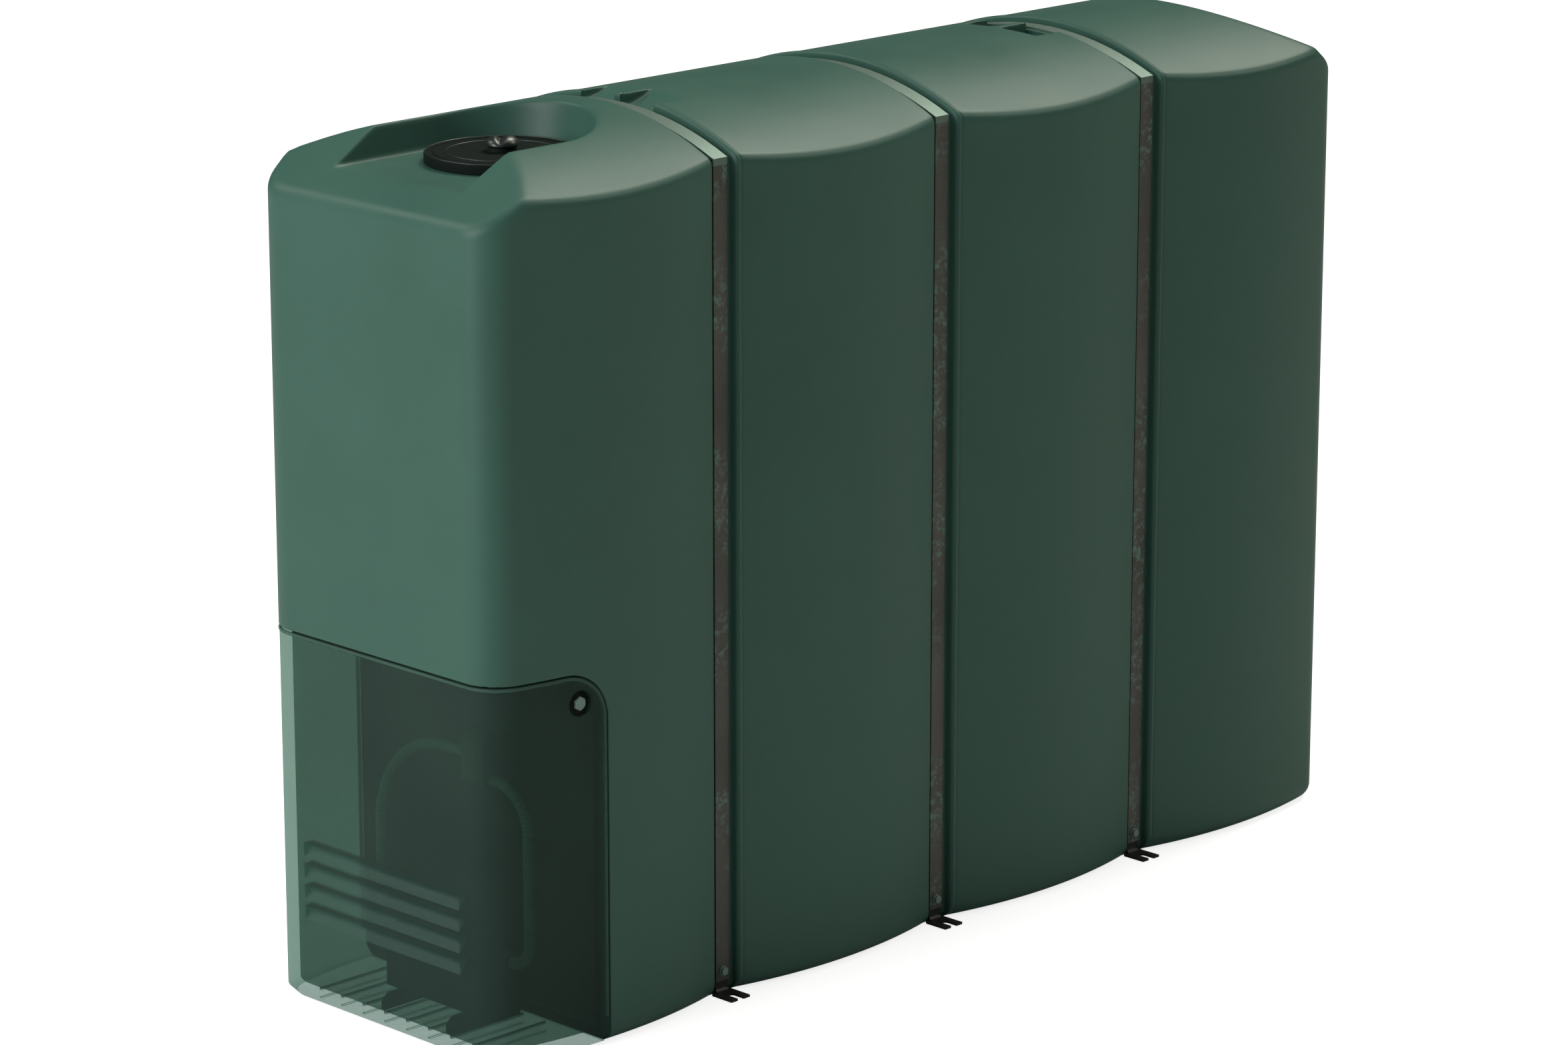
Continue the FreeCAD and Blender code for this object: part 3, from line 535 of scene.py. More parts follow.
def with_caps(rings, y_share, z_share, height):
    """Rings and copies of the last one, shrunk by shares towards the tank's middle at half a height."""
    caps = np.repeat(rings[-1:], len(y_share), 0)
    caps[..., 1] *= y_share[:, None]
    caps[..., 2] = height / 2 + (caps[..., 2] - height / 2) * z_share[:, None]
    return np.concatenate([rings, caps])


def bay_guide(form, number):
    """Guide rings of a bay: through its channel, up the channel's wall, along the bay and over its end.

    The last bay's rings bow with the crest where its roof begins to slope.
    """
    low = STRAP_X[number - 2] + form.channel_width / 2
    high = HALF_LENGTH if number == 4 else STRAP_X[number - 1] - form.channel_width / 2
    depth = form.channel_depth
    pocket = np.concatenate([np.arange(23, 89, 5), [92, 95, 98, 101, 105, 112]])
    start = np.concatenate([[1.5, 3, 5, 7, 9, 11, 13, 14.5, 15.5, 16.5, 17.5, 18.5, 20], pocket]) * MM

    def crest(y):
        return HALF_LENGTH - (arch_height(form.roof_radius, y) - form.slope_start) / math.tan(SLOPE)

    side_crest = crest(0.43)
    if number == 4:
        t = np.linspace(0, 1, 24)[1:]
        rest = np.array([260, 240, 220, 195, 170, 145, 122, 100, 82, 68, 56, 46, 37, 29, 22, 16, 11, 7, 4,
                         1.5, 0]) / 277
        middle = low + start[-1] + (side_crest - low - start[-1]) * t
        stop = (HALF_LENGTH - side_crest) * rest
        follow = np.concatenate([t, rest])
        shrink = np.array([6, 13, 21, 30, 40, 51, 63, 76, 90, 105, 130, 180]) * MM
    else:
        stop = np.concatenate([pocket[::-1], [18, 14, 10, 7, 4.5, 2.5, 1, 0]]) * MM
        middle = np.linspace(low + start[-1], high - stop[0], 22)[1:-1]
        follow = np.zeros(len(middle) + len(stop))
        shrink = np.array([1, 2.5, 4.5, 7, 10, 14, 20, 40]) * MM
    neck_x = low + np.array([-form.channel_width - 0.0004, -0.037, -0.018, -0.014, -0.006, -0.002, -0.0003])
    wall = np.array([15, 11, 7.5, 4.5, 2, 0.5, -2]) * MM
    x = np.concatenate([neck_x, np.full(len(wall), low), low + start, middle, high - stop])
    inset = np.concatenate([np.full(len(neck_x), depth), wall, np.zeros(len(start) + len(follow))])
    reach = np.maximum(x - (number - 2.5) * PITCH, -(PITCH - form.channel_width) / 2)
    width = bay_width(form, reach) - inset
    scoop = np.zeros(len(x))
    if number == 2:
        scoop = np.where(x >= low - 0.015, np.maximum(scoop_depth(x - low) - inset, 0), 0)
    if number == 3:
        scoop = np.maximum(scoop_depth(high - x), 0)
    cap = slope_height(form, -x) if number == 4 else np.full(len(x), ROOF_TOP)
    y, z, on_roof = half_section(form, width, inset, 1 - np.clip(inset / depth, 0, 1), scoop, cap)
    follow = np.concatenate([np.zeros(len(x) - len(follow)), follow])[:, None]
    bow = np.where(np.arange(y.shape[1]) < on_roof, crest(y) - side_crest, 0)
    x = x[:, None] + follow * bow
    if number == 4:
        z = np.minimum(z, slope_height(form, -x))
    return with_caps(mirrored(x, y, z), 1 - shrink / form.half_width, 1 - shrink / (ROOF_TOP / 2), ROOF_TOP)


def front_field(form, p):
    """Distance outside the front bay without its lid recess, ended at the first strap's channel."""
    beyond = p[..., 0] - STRAP_X[0] + form.channel_width / 2
    return soft_max(end_field(form, p), beyond, form.bay_edge_radius)


def recess_field(form, p):
    """Distance outside the lid recess: a U in plan, walls leaning out by 8 degrees, open at the front."""
    x, y, up = p[..., 0], p[..., 1], p[..., 2] - form.recess_floor
    out = np.where(x > form.recess_middle, np.hypot(x - form.recess_middle, y), np.abs(y)) - form.recess_half
    return soft_max(out * math.cos(RECESS_LEAN) - up * math.sin(RECESS_LEAN), -up, 0.009)


def crown_field(form, p):
    """Distance outside the front bay's top with its lid recess cut out."""
    return soft_max(front_field(form, p), -recess_field(form, p), form.recess_rim)


def front_outline(form):
    """The front bay's sharp plan outline, from the front face's middle round by the near side."""
    end = STRAP_X[0] - form.channel_width / 2
    corner = np.array([0, 6, 13, 21, 30, 40, 51, 63, 76, 90, 105, 125]) * MM
    tight = np.array([0, 1, 2.5, 4.5, 7, 11, 18]) * MM
    front_half, end_half = bay_width(form, -HALF_LENGTH - FRONT_MIDDLE), bay_width(form, end - FRONT_MIDDLE)
    front_y = np.concatenate([np.linspace(0, front_half - corner[-1], 12)[:-1], (front_half - corner)[::-1]])
    even = np.linspace(-HALF_LENGTH + corner[-1], end - tight[-1], 40)[1:-1]
    side_x = np.concatenate([-HALF_LENGTH + corner[1:], even, (end - tight)[::-1]])
    end_y = np.concatenate([end_half - tight[1:], np.linspace(end_half - tight[-1], 0, 24)[1:]])
    near = np.concatenate([np.stack([np.full(len(front_y), -HALF_LENGTH), -front_y], -1),
                           np.stack([side_x, -bay_width(form, side_x - FRONT_MIDDLE)], -1),
                           np.stack([np.full(len(end_y), end), -end_y], -1)])
    return np.concatenate([near, near[-2:0:-1] * (1, -1)])


def crown_guide(form):
    """Guide rings of the front bay's top: from the recess's middle line out over its floor, wall and rim,
    across the roof and down over the eave to a level below it."""
    out = front_outline(form)
    line_start, floor_end, far = -1.3, -1.43, 9.0
    middle = np.stack([np.clip(out[:, 0], line_start, form.recess_middle), 0 * out[:, 0]], -1)
    way = out - middle
    reach = np.linalg.norm(way, axis=1)
    way /= reach[:, None]
    half = form.recess_half
    to_side = np.where(out[:, 0] > form.recess_middle, half, half / np.maximum(np.abs(way[:, 1]), 1e-6))
    to_front = np.where(way[:, 0] < 0, (middle[:, 0] - floor_end) / np.maximum(-way[:, 0], 1e-6), far)
    rim = np.minimum(to_side, to_front)

    def row(along, share):
        """Places at distances along each way, a share of the way up from the recess's floor to the roof."""
        x, y = middle[:, 0] + way[:, 0] * along, way[:, 1] * along
        slope = slope_height(form, x)
        low, high = np.minimum(form.recess_floor, slope), np.minimum(arch_height(form.roof_radius, y), slope)
        return np.stack([x, y, low + (high - low) * share], -1)

    lean = (row(rim, 1.0) - row(rim, 0.0))[:, 2] * math.tan(RECESS_LEAN)
    start = rim + lean
    rows = [row(rim * part, 0.0) for part in (0.0, 0.25, 0.5, 0.7, 0.84)]
    rows += [row(np.maximum(rim - back * MM, rim * 0.85), 0.0) for back in (26, 18, 13, 9.5, 7, 4.5, 2, 0)]
    rows += [row(rim + lean * part, part) for part in (0.04, 0.1, 0.2, 0.35, 0.5, 0.65, 0.8, 0.9, 0.96, 1.0)]
    rows += [row(start + (reach - start) * part, 1.0)
             for part in (0.01, 0.025, 0.045, 0.075, 0.12, 0.18, 0.26, 0.36, 0.47, 0.57, 0.66, 0.74, 0.8,
                          0.85, 0.89, 0.925, 0.955, 0.975, 0.99, 1.0)]
    eave = rows[-1][:, 2]
    rows += [np.insert(out, 2, eave - fall * MM, 1) for fall in (1.5, 4, 8, 13, 19, 26, 34, 44, 60, 90, 140)]
    rows.append(np.insert(out, 2, LEVEL, 1))
    return np.stack(rows)


def cover_zone(form, p):
    """Distance outside the space of the pump cover, with its rounded upper rear corner."""
    return soft_max(p[..., 0] - form.cover_back, p[..., 2] - form.cover_top, form.cover_round)


def seam_path(form):
    """The cover's upper seam on the sharp outline, from one rear corner round the front to the other: its
    places, its heights and how far along the rounded corner each place is."""
    out = front_outline(form)
    near = out[:len(out) // 2 + 1]
    bend = form.cover_back - form.cover_round * (1 - np.sin(np.linspace(0, math.pi / 2, 14)))
    near = near[near[:, 0] < bend[0] - 0.003]
    near = np.concatenate([near, np.stack([bend, -bay_width(form, bend - FRONT_MIDDLE)], -1)])
    path = np.concatenate([near[:0:-1], near * (1, -1)])
    turn = np.clip(path[:, 0] - bend[0], 0, form.cover_round)
    seam = form.cover_top - form.cover_round + np.sqrt(np.maximum(form.cover_round ** 2 - turn ** 2, 0))
    return path, seam, turn


def front_wall_guide(form):
    """Guide of the wall over the pump cover: rings round the wall's thickness, carried round the outline."""
    path, seam, _ = seam_path(form)
    seam = seam[:, None]
    inner = np.stack([np.maximum(path[:, 0], -HALF_LENGTH + WALL), path[:, 1] * (1 - WALL / 0.42)], -1)
    rise = seam + np.array([0, 1, 2.2, 3.6, 5.5, 9, 16, 30]) * MM
    even = rise[:, -1:] + (LEVEL - rise[:, -1:]) * np.linspace(0, 1, 14)[1:]
    z_out = np.concatenate([rise, even], 1)
    outer = np.concatenate([np.repeat(path[:, None], z_out.shape[1], 1), z_out[..., None]], -1)
    under = np.array([20, 9, 5, 3, 1.5]) * MM / WALL
    ledge = path[:, None] + (inner - path)[:, None] * under[None, :, None]
    ledge = np.concatenate([ledge, np.repeat(seam, len(under), 1)[..., None]], -1)
    back = np.concatenate([np.repeat(inner[:, None], 2, 1),
                           np.concatenate([np.full_like(seam, LEVEL), seam], 1)[..., None]], -1)
    return np.concatenate([ledge, outer, back], 1)


def cover_lip(form):
    """The cover's rounded edge: a bar 9 mm thick just inside the seam and the rear edges, 1.5 mm proud."""

    def skin(p):
        return front_field(form, p)

    path, seam, turn = seam_path(form)
    fall = np.linspace(form.cover_top - form.cover_round - 0.02, 0.07, 14)
    first, last = (np.repeat(path[i][None], len(fall), 0) for i in (0, -1))
    path = np.concatenate([first, path, last])
    height = np.concatenate([fall[::-1], seam, fall])
    upright = np.full(len(fall), math.pi / 2)
    lean = np.concatenate([upright, np.arcsin(np.clip(turn / form.cover_round, 0, 1)), upright])
    edge = np.stack([np.sin(lean), 0 * lean, np.cos(lean)], -1)
    inside, sunk, radius = 0.0085, 0.003, 0.0045
    middle = settle(np.insert(path, 2, height, 1) - inside * edge, skin)
    out = slope_of(skin, middle, 0.2 * MM)
    out /= np.linalg.norm(out, axis=1)[:, None]
    t = np.linspace(0, 2 * math.pi, 14, endpoint=False)[None, :, None]
    return (middle - sunk * out)[:, None] + radius * (np.cos(t) * edge[:, None] + np.sin(t) * out[:, None])


def lower_guide(form):
    """Guide rings of the front bay's lower body behind the pump cover, floor to a level under the eave."""
    low, high = form.cover_back, STRAP_X[0] - form.channel_width / 2
    begin = np.array([0, 0.8, 1.8, 3, 4.5, 7, 12, 22]) * MM
    stop = np.array([18, 11, 7, 4.5, 2.5, 1, 0]) * MM
    x = np.concatenate([low + begin, np.linspace(low + begin[-1], high - stop[0], 26)[1:-1], high - stop])
    w = bay_width(form, x - FRONT_MIDDLE)[:, None]
    step = np.concatenate([np.linspace(LEVEL, 0.95, 8), np.linspace(0.93, 0.8, 12),
                           np.linspace(0.76, 0.1, 9), FOOT])
    y = np.concatenate([0 * w, w - np.array([0.15, 0.03]), w + 0 * step, w - INWARD, 0 * w], 1)
    z = np.concatenate([np.full(3, LEVEL), step, 0 * INWARD, [0.0]])
    rings = mirrored(x[:, None] + 0 * y, y, z + 0 * y)
    share = np.array([0.997, 0.99, 0.97, 0.9])
    return with_caps(rings, share, share, LEVEL)


def stood(points, axis):
    """Points made about +Z, turned so that +Z becomes -Y or +Y where the axis says so."""
    x, y, z = points[..., 0], points[..., 1], points[..., 2]
    if axis == "-Y":
        return np.stack([x, -z, y], -1)
    if axis == "+Y":
        return np.stack([-x, z, y], -1)
    return points


def about(r, h, angle):
    """Places at radii, heights and angles about +Z."""
    return np.stack([r * np.cos(angle), r * np.sin(angle), h + 0 * angle], -1)


def turned(name, profile, centre, look, replaced=(), sides=96, axis="Z"):
    """A turned piece: a profile of (radius, height) points carried round an axis through a place."""
    angle = np.linspace(0, 2 * math.pi, sides, endpoint=False)
    r, h = np.asarray(profile, float).T[..., None]
    points = stood(about(r, h, angle), axis) + np.asarray(centre, float)
    return ring_piece(name, points, look, replaced)


def turned_ring(name, profile, centre, look, sides=128):
    """A closed loop of (radius, height) points carried round an upright axis, with no ends to close."""
    angle = np.linspace(0, 2 * math.pi, sides, endpoint=False)[:, None]
    r, h = profile.T
    points = about(r, h, angle) + np.asarray(centre, float)
    faces = grid_faces(sides + 1, len(profile)) % (sides * len(profile))
    return new_piece(name, points, faces.tolist(), look)


def arc_profile(centre, radius, start, stop, count):
    """Points of a profile's rounding about a centre, angles in degrees."""
    a = np.radians(np.linspace(start, stop, count))
    return np.stack([centre[0] + radius * np.cos(a), centre[1] + radius * np.sin(a)], -1)


def hex_bolt(name, centre, across, tall, washer, axis):
    """A bolt head and washer: a hexagon r = a / cos(angle within a side), its top corners bevelled."""
    angle = np.linspace(0, 2 * math.pi, 72, endpoint=False)
    hexagon = across / 2 / np.cos((angle + math.pi / 6) % (math.pi / 3) - math.pi / 6)
    top = 0.002 + tall
    rows = [(washer, 0.0), (washer, 0.0016), (washer - 0.0006, 0.0022), (across * 0.53, 0.0022),
            (hexagon, 0.0022), (hexagon, 0.002 + tall * 0.78),
            (np.minimum(hexagon, across * 0.53), 0.002 + tall * 0.93), (across * 0.485, top),
            (across * 0.2, top)]
    points = stood(np.stack([about(r, h, angle) for r, h in rows]), axis) + np.asarray(centre, float)
    return ring_piece(name, points, "bolt", sharp=28.0)


def route(corners, radii, step):
    """Places and directions along straight runs in the YZ plane with arcs at the corners, in even steps."""
    corners = np.asarray(corners, float)
    places, ways = [], []

    def run(start, stop):
        gap = stop - start
        size = np.linalg.norm(gap)
        s = np.linspace(0, 1, max(2, int(size / step)), endpoint=False)[:, None]
        places.append(start + gap * s)
        ways.append(np.repeat(gap[None] / size, len(s), 0))

    here = corners[0]
    for before, corner, after, radius in zip(corners, corners[1:], corners[2:], radii):
        a = (corner - before) / np.linalg.norm(corner - before)
        b = (after - corner) / np.linalg.norm(after - corner)
        run(here, corner - a * radius)
        t = np.linspace(0, math.pi / 2, max(3, int(radius * math.pi / 2 / step)), endpoint=False)[:, None]
        places.append(corner + (b - a) * radius + radius * (a * np.sin(t) - b * np.cos(t)))
        ways.append(a * np.cos(t) + b * np.sin(t))
        here = corner + b * radius
    run(here, corners[-1])
    return np.concatenate(places + [corners[-1:]]), np.concatenate(ways + [ways[-1][-1:]])


def ribbed_hose(name, x, corners, radii, form, replaced):
    """A ribbed tube along a route: radius R - a (1 - |cos(pi s / pitch)|^0.7), a ring at every step."""
    places, ways = route(corners, radii, form.rib_pitch / 6)
    s = np.concatenate([[0], np.cumsum(np.linalg.norm(np.diff(places, axis=0), axis=1))])
    rib_depth = 0.0032
    radius = form.hose_radius - rib_depth * (1 - np.abs(np.cos(math.pi * s / form.rib_pitch)) ** 0.7)
    angle = np.linspace(0, 2 * math.pi, 20, endpoint=False)
    across, up = radius[:, None] * np.cos(angle), radius[:, None] * np.sin(angle)
    y = places[:, :1] - ways[:, 1:] * across
    z = places[:, 1:] + ways[:, :1] * across
    return ring_piece(name, np.stack([x + up, y, z], -1), "hose", replaced, sharp=70.0)


def vent_face(name, head):
    """The satin face of a vent: a pillow on its slope, raised by h (1 - (2s - 1)^6) (1 - r^24)."""
    along = np.concatenate([np.linspace(-1, -0.9, 9)[:-1], np.linspace(-0.9, 0.9, 25),
                            np.linspace(0.9, 1, 9)[1:]])
    s = (1 - np.cos(np.linspace(0, math.pi, 15))) / 2
    tall, deep, half_wide, h, gap = 0.037, 0.028, 0.2775, 0.0013, 0.0004
    rise = h * (1 - (2 * s - 1) ** 6) * (1 - along[:, None] ** 24)
    across = np.concatenate([s, s[-2:0:-1]])
    lift = gap + np.concatenate([rise, -0.1 * rise[:, -2:0:-1]], 1)
    steep = math.hypot(tall, deep)
    x = -HALF_LENGTH + deep * across - lift * tall / steep
    z = head - tall + tall * across + lift * deep / steep
    y = np.repeat(half_wide * along[:, None], len(across), 1)
    return ring_piece(name, np.stack([x, y, z], -1)[::-1], "vent", sharp=60.0)


class TANK_OT_bays(bpy.types.Operator):
    """Make the moulded skin of the second, third and last bay"""
    bl_idname = "tank.bays"
    bl_label = "Bays"

    def execute(self, context):
        form = context.scene.tank_form
        for number in (2, 3, 4):
            points = settle(bay_guide(form, number), lambda p: bay_field(form, p, number))
            nodes = ["near_wall_bay_%d" % number, "far_wall_bay_%d" % number, "roof_bay_%d" % number]
            if number == 4:
                nodes += ["back_end_wall", "tank_floor"]
            ring_piece("bay_%d_skin" % number, points, "moulded", nodes)
        return {"FINISHED"}


class TANK_OT_front(bpy.types.Operator):
    """Make the front bay: top with lid recess, wall over the cover, lower body and the pump's room"""
    bl_idname = "tank.front"
    bl_label = "Front bay"

    def execute(self, context):
        form = context.scene.tank_form

        def top(p):
            return np.maximum(crown_field(form, p), LEVEL - p[..., 2])

        def wall(p):
            body = soft_max(front_field(form, p), -cover_zone(form, p), SEAM_RADIUS)
            ends = np.maximum(p[..., 0] - form.cover_back, p[..., 2] - LEVEL)
            return np.maximum(np.maximum(body, -front_field(form, p) - WALL), ends)

        def lower(p):
            body = soft_max(front_field(form, p), -p[..., 2], form.foot_radius)
            body = soft_max(body, -cover_zone(form, p), SEAM_RADIUS)
            return np.maximum(body, np.maximum(form.cover_back - p[..., 0], p[..., 2] - LEVEL))

        for name, guide, field, nodes in (
                ("front_bay_top", crown_guide, top, ["roof_bay_1"]),
                ("front_wall_skin", front_wall_guide, wall, ["front_end_wall"]),
                ("front_bay_body", lower_guide, lower, ["near_wall_bay_1", "far_wall_bay_1"])):
            ring_piece(name, settle(guide(form), field), "moulded", nodes)
        self.liner(form)
        # The lid's neck gets the recess finish: painted shade, the tank's green darkened where the recess
        # shades it
        dress("recess", "lid_neck")
        return {"FINISHED"}

    def liner(self, form):
        """The pump room's back wall and ceiling: two plates, the ceiling's edge 31 mm inside the skin, both
        in the recess finish, which is painted shade: the tank's green darkened.
        """
        low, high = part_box("pump_recess_wall")
        wide, face = 0.412, high[0] - 0.016
        wall = np.array([(-wide, low[2]), (wide, low[2]), (wide, high[2]), (-wide, high[2])])
        wall = np.stack([np.insert(wall, 0, x, 1) for x in (face, high[0] - 0.002)])
        ring_piece("pump_room_back", wall, "recess", ["pump_recess_wall"])
        path = seam_path(form)[0]
        edge = np.insert(path[path[:, 0] < face], 2, high[2], 1)
        edge = settle(edge, lambda p: front_field(form, p) + 0.031)
        ring_piece("pump_room_ceiling", np.stack([edge, edge - (0, 0, 0.008)]), "recess")


class TANK_OT_lid(bpy.types.Operator):
    """Make the screw lid: a disc with two bead lines and a two-lobed knob"""
    bl_idname = "tank.lid"
    bl_label = "Lid"

    def execute(self, context):
        low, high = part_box("access_lid")
        centre = np.array([(low[0] + high[0]) / 2, (low[1] + high[1]) / 2, 0.0])
        floor = context.scene.tank_form.recess_floor + 0.0005
        top = floor + 0.0245
        disc = np.concatenate([
            [(0.172, floor), (0.181, floor)], arc_profile((0.1815, floor + 0.0025), 0.0025, -90, 0, 4),
            arc_profile((0.18, top - 0.004), 0.004, 0, 90, 7), [(0.168, top)],
            arc_profile((0.164, top), 0.002, 0, -180, 7), [(0.134, top)],
            arc_profile((0.131, top), 0.0025, 0, -180, 7),
            [(0.11, top - 0.0005), (0.06, top - 0.0005), (0.04, top)],
            arc_profile((0.039, top + 0.005), 0.005, -90, -180, 5),
            [(0.033, top + 0.01), (0.008, top + 0.01)]])
        turned("lid_disc", disc, centre, "lid", ["access_lid"], sides=128)
        for word, reach in (("rim", 0.1795), ("ring", 0.131)):
            bead = arc_profile((reach, top - 0.0004), 0.0016, -180, 180, 13)[:-1]
            turned_ring("lid_%s_bead" % word, bead, centre, "knob")
        self.knob(centre + (0, 0, top + 0.008))
        return {"FINISHED"}

    def knob(self, foot):
        """The knob: a dome r = 0.04 cos(a)^0.8, z = t sin(a), cut by a soft valley across it.

        Above its widest ring t is 0.022 (1 - 0.5 exp(-(u / 0.009)^2)), u being the distance from the valley.
        """
        rise = np.radians(np.linspace(-70, 87, 30))[:, None]
        angle = np.linspace(0, 2 * math.pi, 72, endpoint=False)
        reach = 0.04 * np.cos(rise) ** 0.8
        x, y = reach * np.cos(angle), reach * np.sin(angle)
        valley = 1 - 0.5 * np.exp(-(((x - y) / math.sqrt(2) + 0.004) / 0.009) ** 2)
        z = 0.007 + np.where(rise > 0, 0.022 * valley, 0.006) * np.sin(rise)
        ring_piece("lid_knob", np.stack([x, y, z], -1) + foot, "knob")


class TANK_OT_cover(bpy.types.Operator):
    """Finish the see-through pump cover and make its lip, bolts, washers and vent faces"""
    bl_idname = "tank.cover"
    bl_label = "Pump cover"

    def execute(self, context):
        dress("cover", "pump_cover")
        form = context.scene.tank_form
        ring_piece("cover_lip", cover_lip(form), "lip")
        x, z = form.cover_back - 0.082, form.cover_top - 0.072
        sunk, proud, thick, wide = 0.018, 0.0062, 0.0012, 0.03
        top_vent, vent_pitch = 0.405, 0.0525
        washer = [(0.01, 0.0), (wide, 0.0), (wide + 0.0005, 0.0004), (wide + 0.0005, 0.0008), (wide, thick),
                  (0.01, thick)]
        for word, way, axis in (("near", -1, "-Y"), ("far", 1, "+Y")):
            y = way * (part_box("pump_cover")[1][1] - sunk)
            hex_bolt(word + "_cover_bolt", (x, y, z), 0.03, 0.012, 0.019, axis)
            place = (x, y + way * proud, z)
            turned(word + "_cover_washer", washer, place, "lid", axis=axis)
        for number in range(4):
            vent_face("vent_face_%d" % (number + 1), top_vent - vent_pitch * number)
        return {"FINISHED"}


class TANK_OT_pump(bpy.types.Operator):
    """Finish the pump and its fitting, and make the ribbed hoses between them"""
    bl_idname = "tank.pump"
    bl_label = "Pump and hoses"

    def execute(self, context):
        form = context.scene.tank_form
        dress("pump", "pump_base", "pump_housing")
        dress("fitting", "outlet_fitting")
        x = (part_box("riser_hose")[0][0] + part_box("riser_hose")[1][0]) / 2
        ribbed_hose("riser_tube", x, [(0.134, 0.172), (0.248, 0.172), (0.248, 0.6605), (-0.084, 0.6605)],
                    [0.055, 0.243], form, ["riser_hose"])
        ribbed_hose("return_tube", x, [(-0.16, 0.61), (-0.28, 0.61), (-0.28, 0.172), (-0.22, 0.172)],
                    [0.112, 0.055], form, ["return_hose"])
        return {"FINISHED"}


class TANK_OT_straps(bpy.types.Operator):
    """Finish the straps and feet and set a hex bolt at each strap's end"""
    bl_idname = "tank.straps"
    bl_label = "Straps and feet"

    def execute(self, context):
        for n in (1, 2, 3):
            dress("strap", "strap_%d" % n)
            dress("foot", "near_foot_%d" % n, "far_foot_%d" % n)
            low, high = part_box("strap_%d" % n)
            for word, y, axis in (("near", low[1], "-Y"), ("far", high[1], "+Y")):
                place = (STRAP_X[n - 1], y, 0.059)
                hex_bolt("%s_strap_bolt_%d" % (word, n), place, 0.019, 0.0075, 0.012, axis)
        return {"FINISHED"}


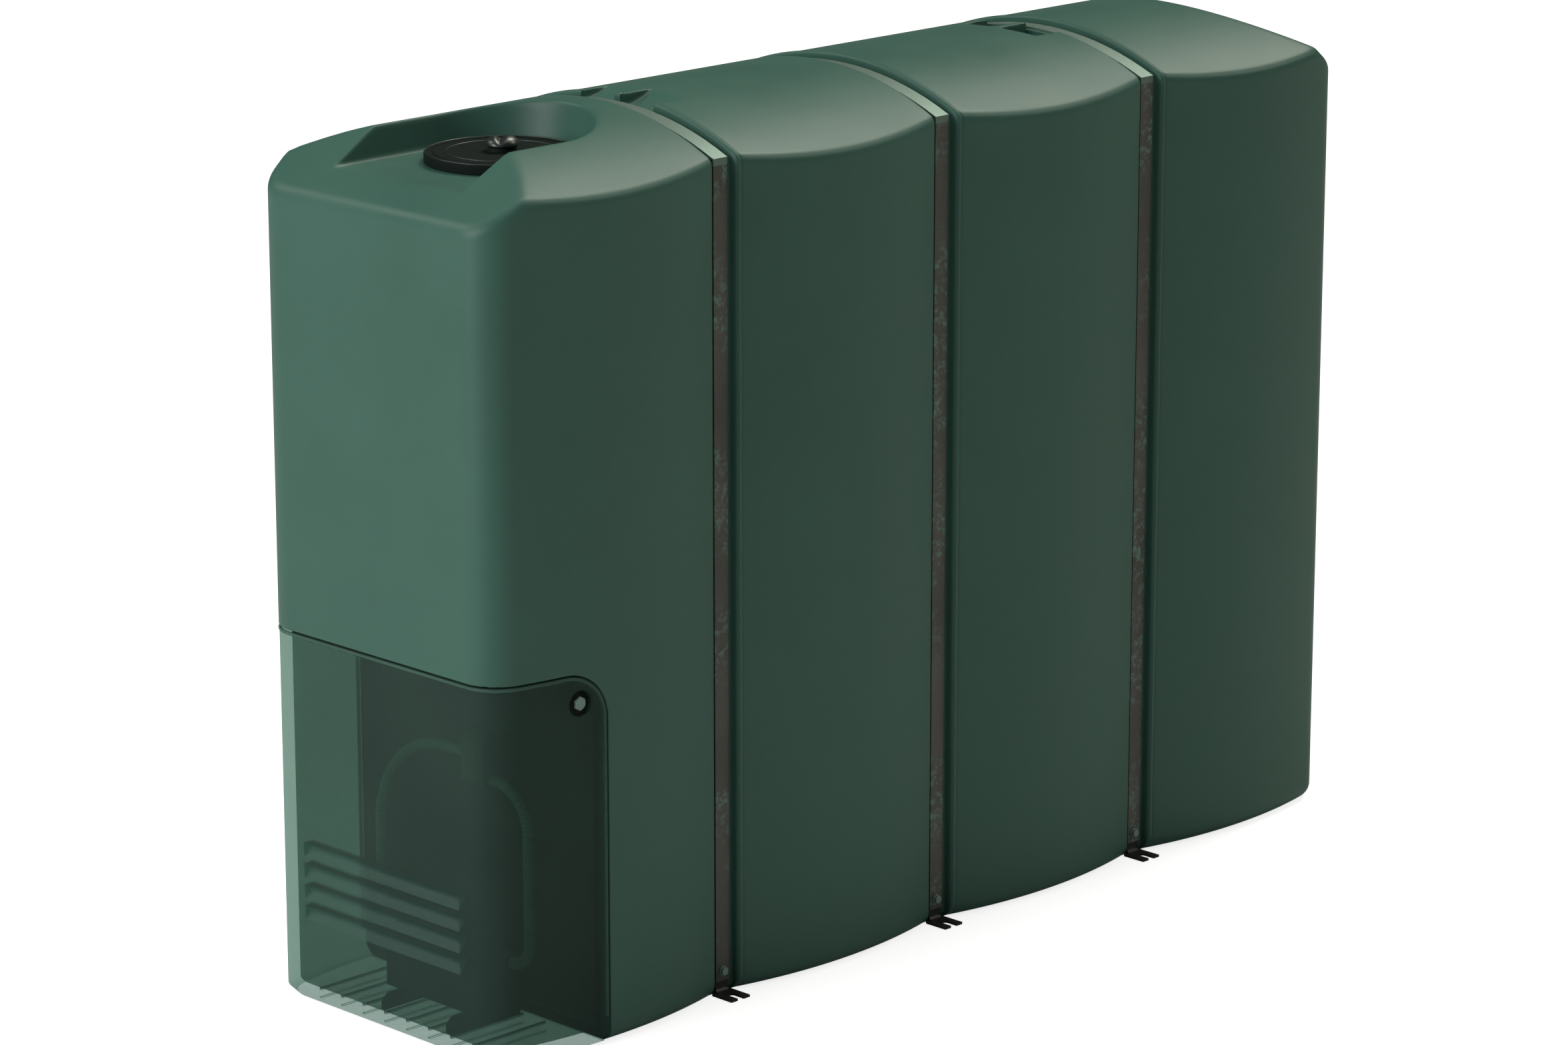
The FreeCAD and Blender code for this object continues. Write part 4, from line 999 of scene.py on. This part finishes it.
class TANK_OT_studio(bpy.types.Operator):
    """Make the white studio: floor, even light, three soft lamps, three far lights and the camera"""
    bl_idname = "tank.studio"
    bl_label = "Studio"

    def execute(self, context):
        scene = context.scene
        studio = scene.tank_studio
        self.world(scene, studio)
        self.floor(scene)
        self.lamp(scene, "key_lamp", (-7.6, 0.9, 3.8), (-0.6, 0.0, 1.2), 3.0, studio.key)
        self.lamp(scene, "side_lamp", (0.5, -9.0, 3.5), (0.0, 0.0, 1.0), 6.0, studio.side)
        self.lamp(scene, "top_lamp", (0.0, 0.0, 8.0), (0.0, 0.0, 0.0), 5.0, studio.top)
        self.sun(scene, "back_sun", 10.0, 50.0, 20.0, studio.back)
        self.sun(scene, "far_rim_sun", 123.0, 36.0, 8.0, studio.rim * 1.4)
        self.sun(scene, "near_rim_sun", -33.0, 36.0, 8.0, studio.rim)
        data = bpy.data.cameras.new("photo_camera")
        data.sensor_width, data.sensor_fit, data.lens = 36.0, "HORIZONTAL", 122.8
        data.clip_end = 100.0
        camera = bpy.data.objects.new("photo_camera", data)
        camera.location = (-9.2821, -9.1296, 4.4542)
        camera.rotation_euler = (math.radians(75), 0.0, math.radians(-45))
        scene.collection.objects.link(camera)
        scene.camera = camera
        scene.view_settings.view_transform = "Standard"
        return {"FINISHED"}

    def world(self, scene, studio):
        """Even light for the object, white to the camera."""
        world = bpy.data.worlds.new("studio_sky")
        scene.world = world
        world.use_nodes = True
        tree = world.node_tree
        tree.nodes.clear()
        even = wired(tree, "Background", {"Color": (0.96, 0.99, 1.0), "Strength": studio.sky}, "Background")
        white = wired(tree, "Background", {"Color": WHITE, "Strength": 1.0}, "Background")
        seen = wired(tree, "LightPath", {}, "Is Camera Ray")
        both = wired(tree, "MixShader", {"Fac": seen, 1: even, 2: white}, "Shader")
        tree.links.new(both, tree.nodes.new("ShaderNodeOutputWorld").inputs["Surface"])

    def floor(self, scene):
        """A wide pale floor that shows white with the tank's soft shadow."""
        mesh = bpy.data.meshes.new("studio_floor")
        side = 40.0
        corners = [(-side, -side, 0), (side, -side, 0), (side, side, 0), (-side, side, 0)]
        mesh.from_pydata(corners, [], [(0, 1, 2, 3)])
        material, tree, output = nodes_of("studio_white")
        matt = wired(tree, "BsdfDiffuse", {"Color": (0.66, 0.66, 0.66)}, "BSDF")
        seen = wired(tree, "LightPath", {}, "Is Camera Ray")
        glow = wired(tree, "Emission", {"Strength": maths(tree, "MULTIPLY", seen, 0.8)}, "Emission")
        both = wired(tree, "AddShader", {0: matt, 1: glow}, "Shader")
        tree.links.new(both, output.inputs["Surface"])
        mesh.materials.append(material)
        floor = bpy.data.objects.new("studio_floor", mesh)
        scene.collection.objects.link(floor)

    def lamp(self, scene, name, place, target, size, power):
        """A square lamp that faces a point."""
        x, y, z = np.asarray(target, float) - np.asarray(place, float)
        turn = (math.atan2(math.hypot(x, y), -z), 0.0, math.atan2(y, x) - math.pi / 2)
        self.light(scene, name, "AREA", place, turn, shape="SQUARE", size=size, energy=power)

    def sun(self, scene, name, round_x, height, width, strength):
        """A far light that stands a number of degrees from +X towards +Y and above the ground, so wide."""
        turn = (math.radians(90 - height), 0.0, math.radians(round_x + 90))
        self.light(scene, name, "SUN", (0, 0, 0), turn, energy=strength, angle=math.radians(width),
                   color=(1.0, 0.985, 0.86))

    def light(self, scene, name, kind, place, turn, **settings):
        """A light of a kind at a place, turned, with its settings."""
        data = bpy.data.lights.new(name, kind)
        for key, value in settings.items():
            setattr(data, key, value)
        lamp = bpy.data.objects.new(name, data)
        lamp.location, lamp.rotation_euler = place, turn
        scene.collection.objects.link(lamp)


STEPS = (TANK_OT_bays, TANK_OT_front, TANK_OT_lid, TANK_OT_cover, TANK_OT_pump, TANK_OT_straps,
         TANK_OT_studio)


class TANK_PT_panel(bpy.types.Panel):
    """The steps of the tank's looks and the values a user may change"""
    bl_idname = "TANK_PT_panel"
    bl_label = "Water tank"
    bl_space_type = "VIEW_3D"
    bl_region_type = "UI"
    bl_category = "Tank"

    def draw(self, context):
        for step in STEPS:
            self.layout.operator(step.bl_idname)
        for group in (context.scene.tank_form, context.scene.tank_finish, context.scene.tank_studio):
            box = self.layout.box()
            for name in group.__annotations__:
                box.prop(group, name)


CLASSES = (TankForm, TankFinish, TankStudio) + STEPS + (TANK_PT_panel,)


def register():
    """Add the classes and hang the values on the scene."""
    for item in CLASSES:
        bpy.utils.register_class(item)
    bpy.types.Scene.tank_form = PointerProperty(type=TankForm)
    bpy.types.Scene.tank_finish = PointerProperty(type=TankFinish)
    bpy.types.Scene.tank_studio = PointerProperty(type=TankStudio)


def unregister():
    """Take the values and classes away."""
    del bpy.types.Scene.tank_form
    del bpy.types.Scene.tank_finish
    del bpy.types.Scene.tank_studio
    for item in reversed(CLASSES):
        bpy.utils.unregister_class(item)


def main():
    """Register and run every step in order."""
    register()
    for step in (bpy.ops.tank.bays, bpy.ops.tank.front, bpy.ops.tank.lid, bpy.ops.tank.cover,
                 bpy.ops.tank.pump, bpy.ops.tank.straps, bpy.ops.tank.studio):
        step()


if __name__ == "__main__":
    main()
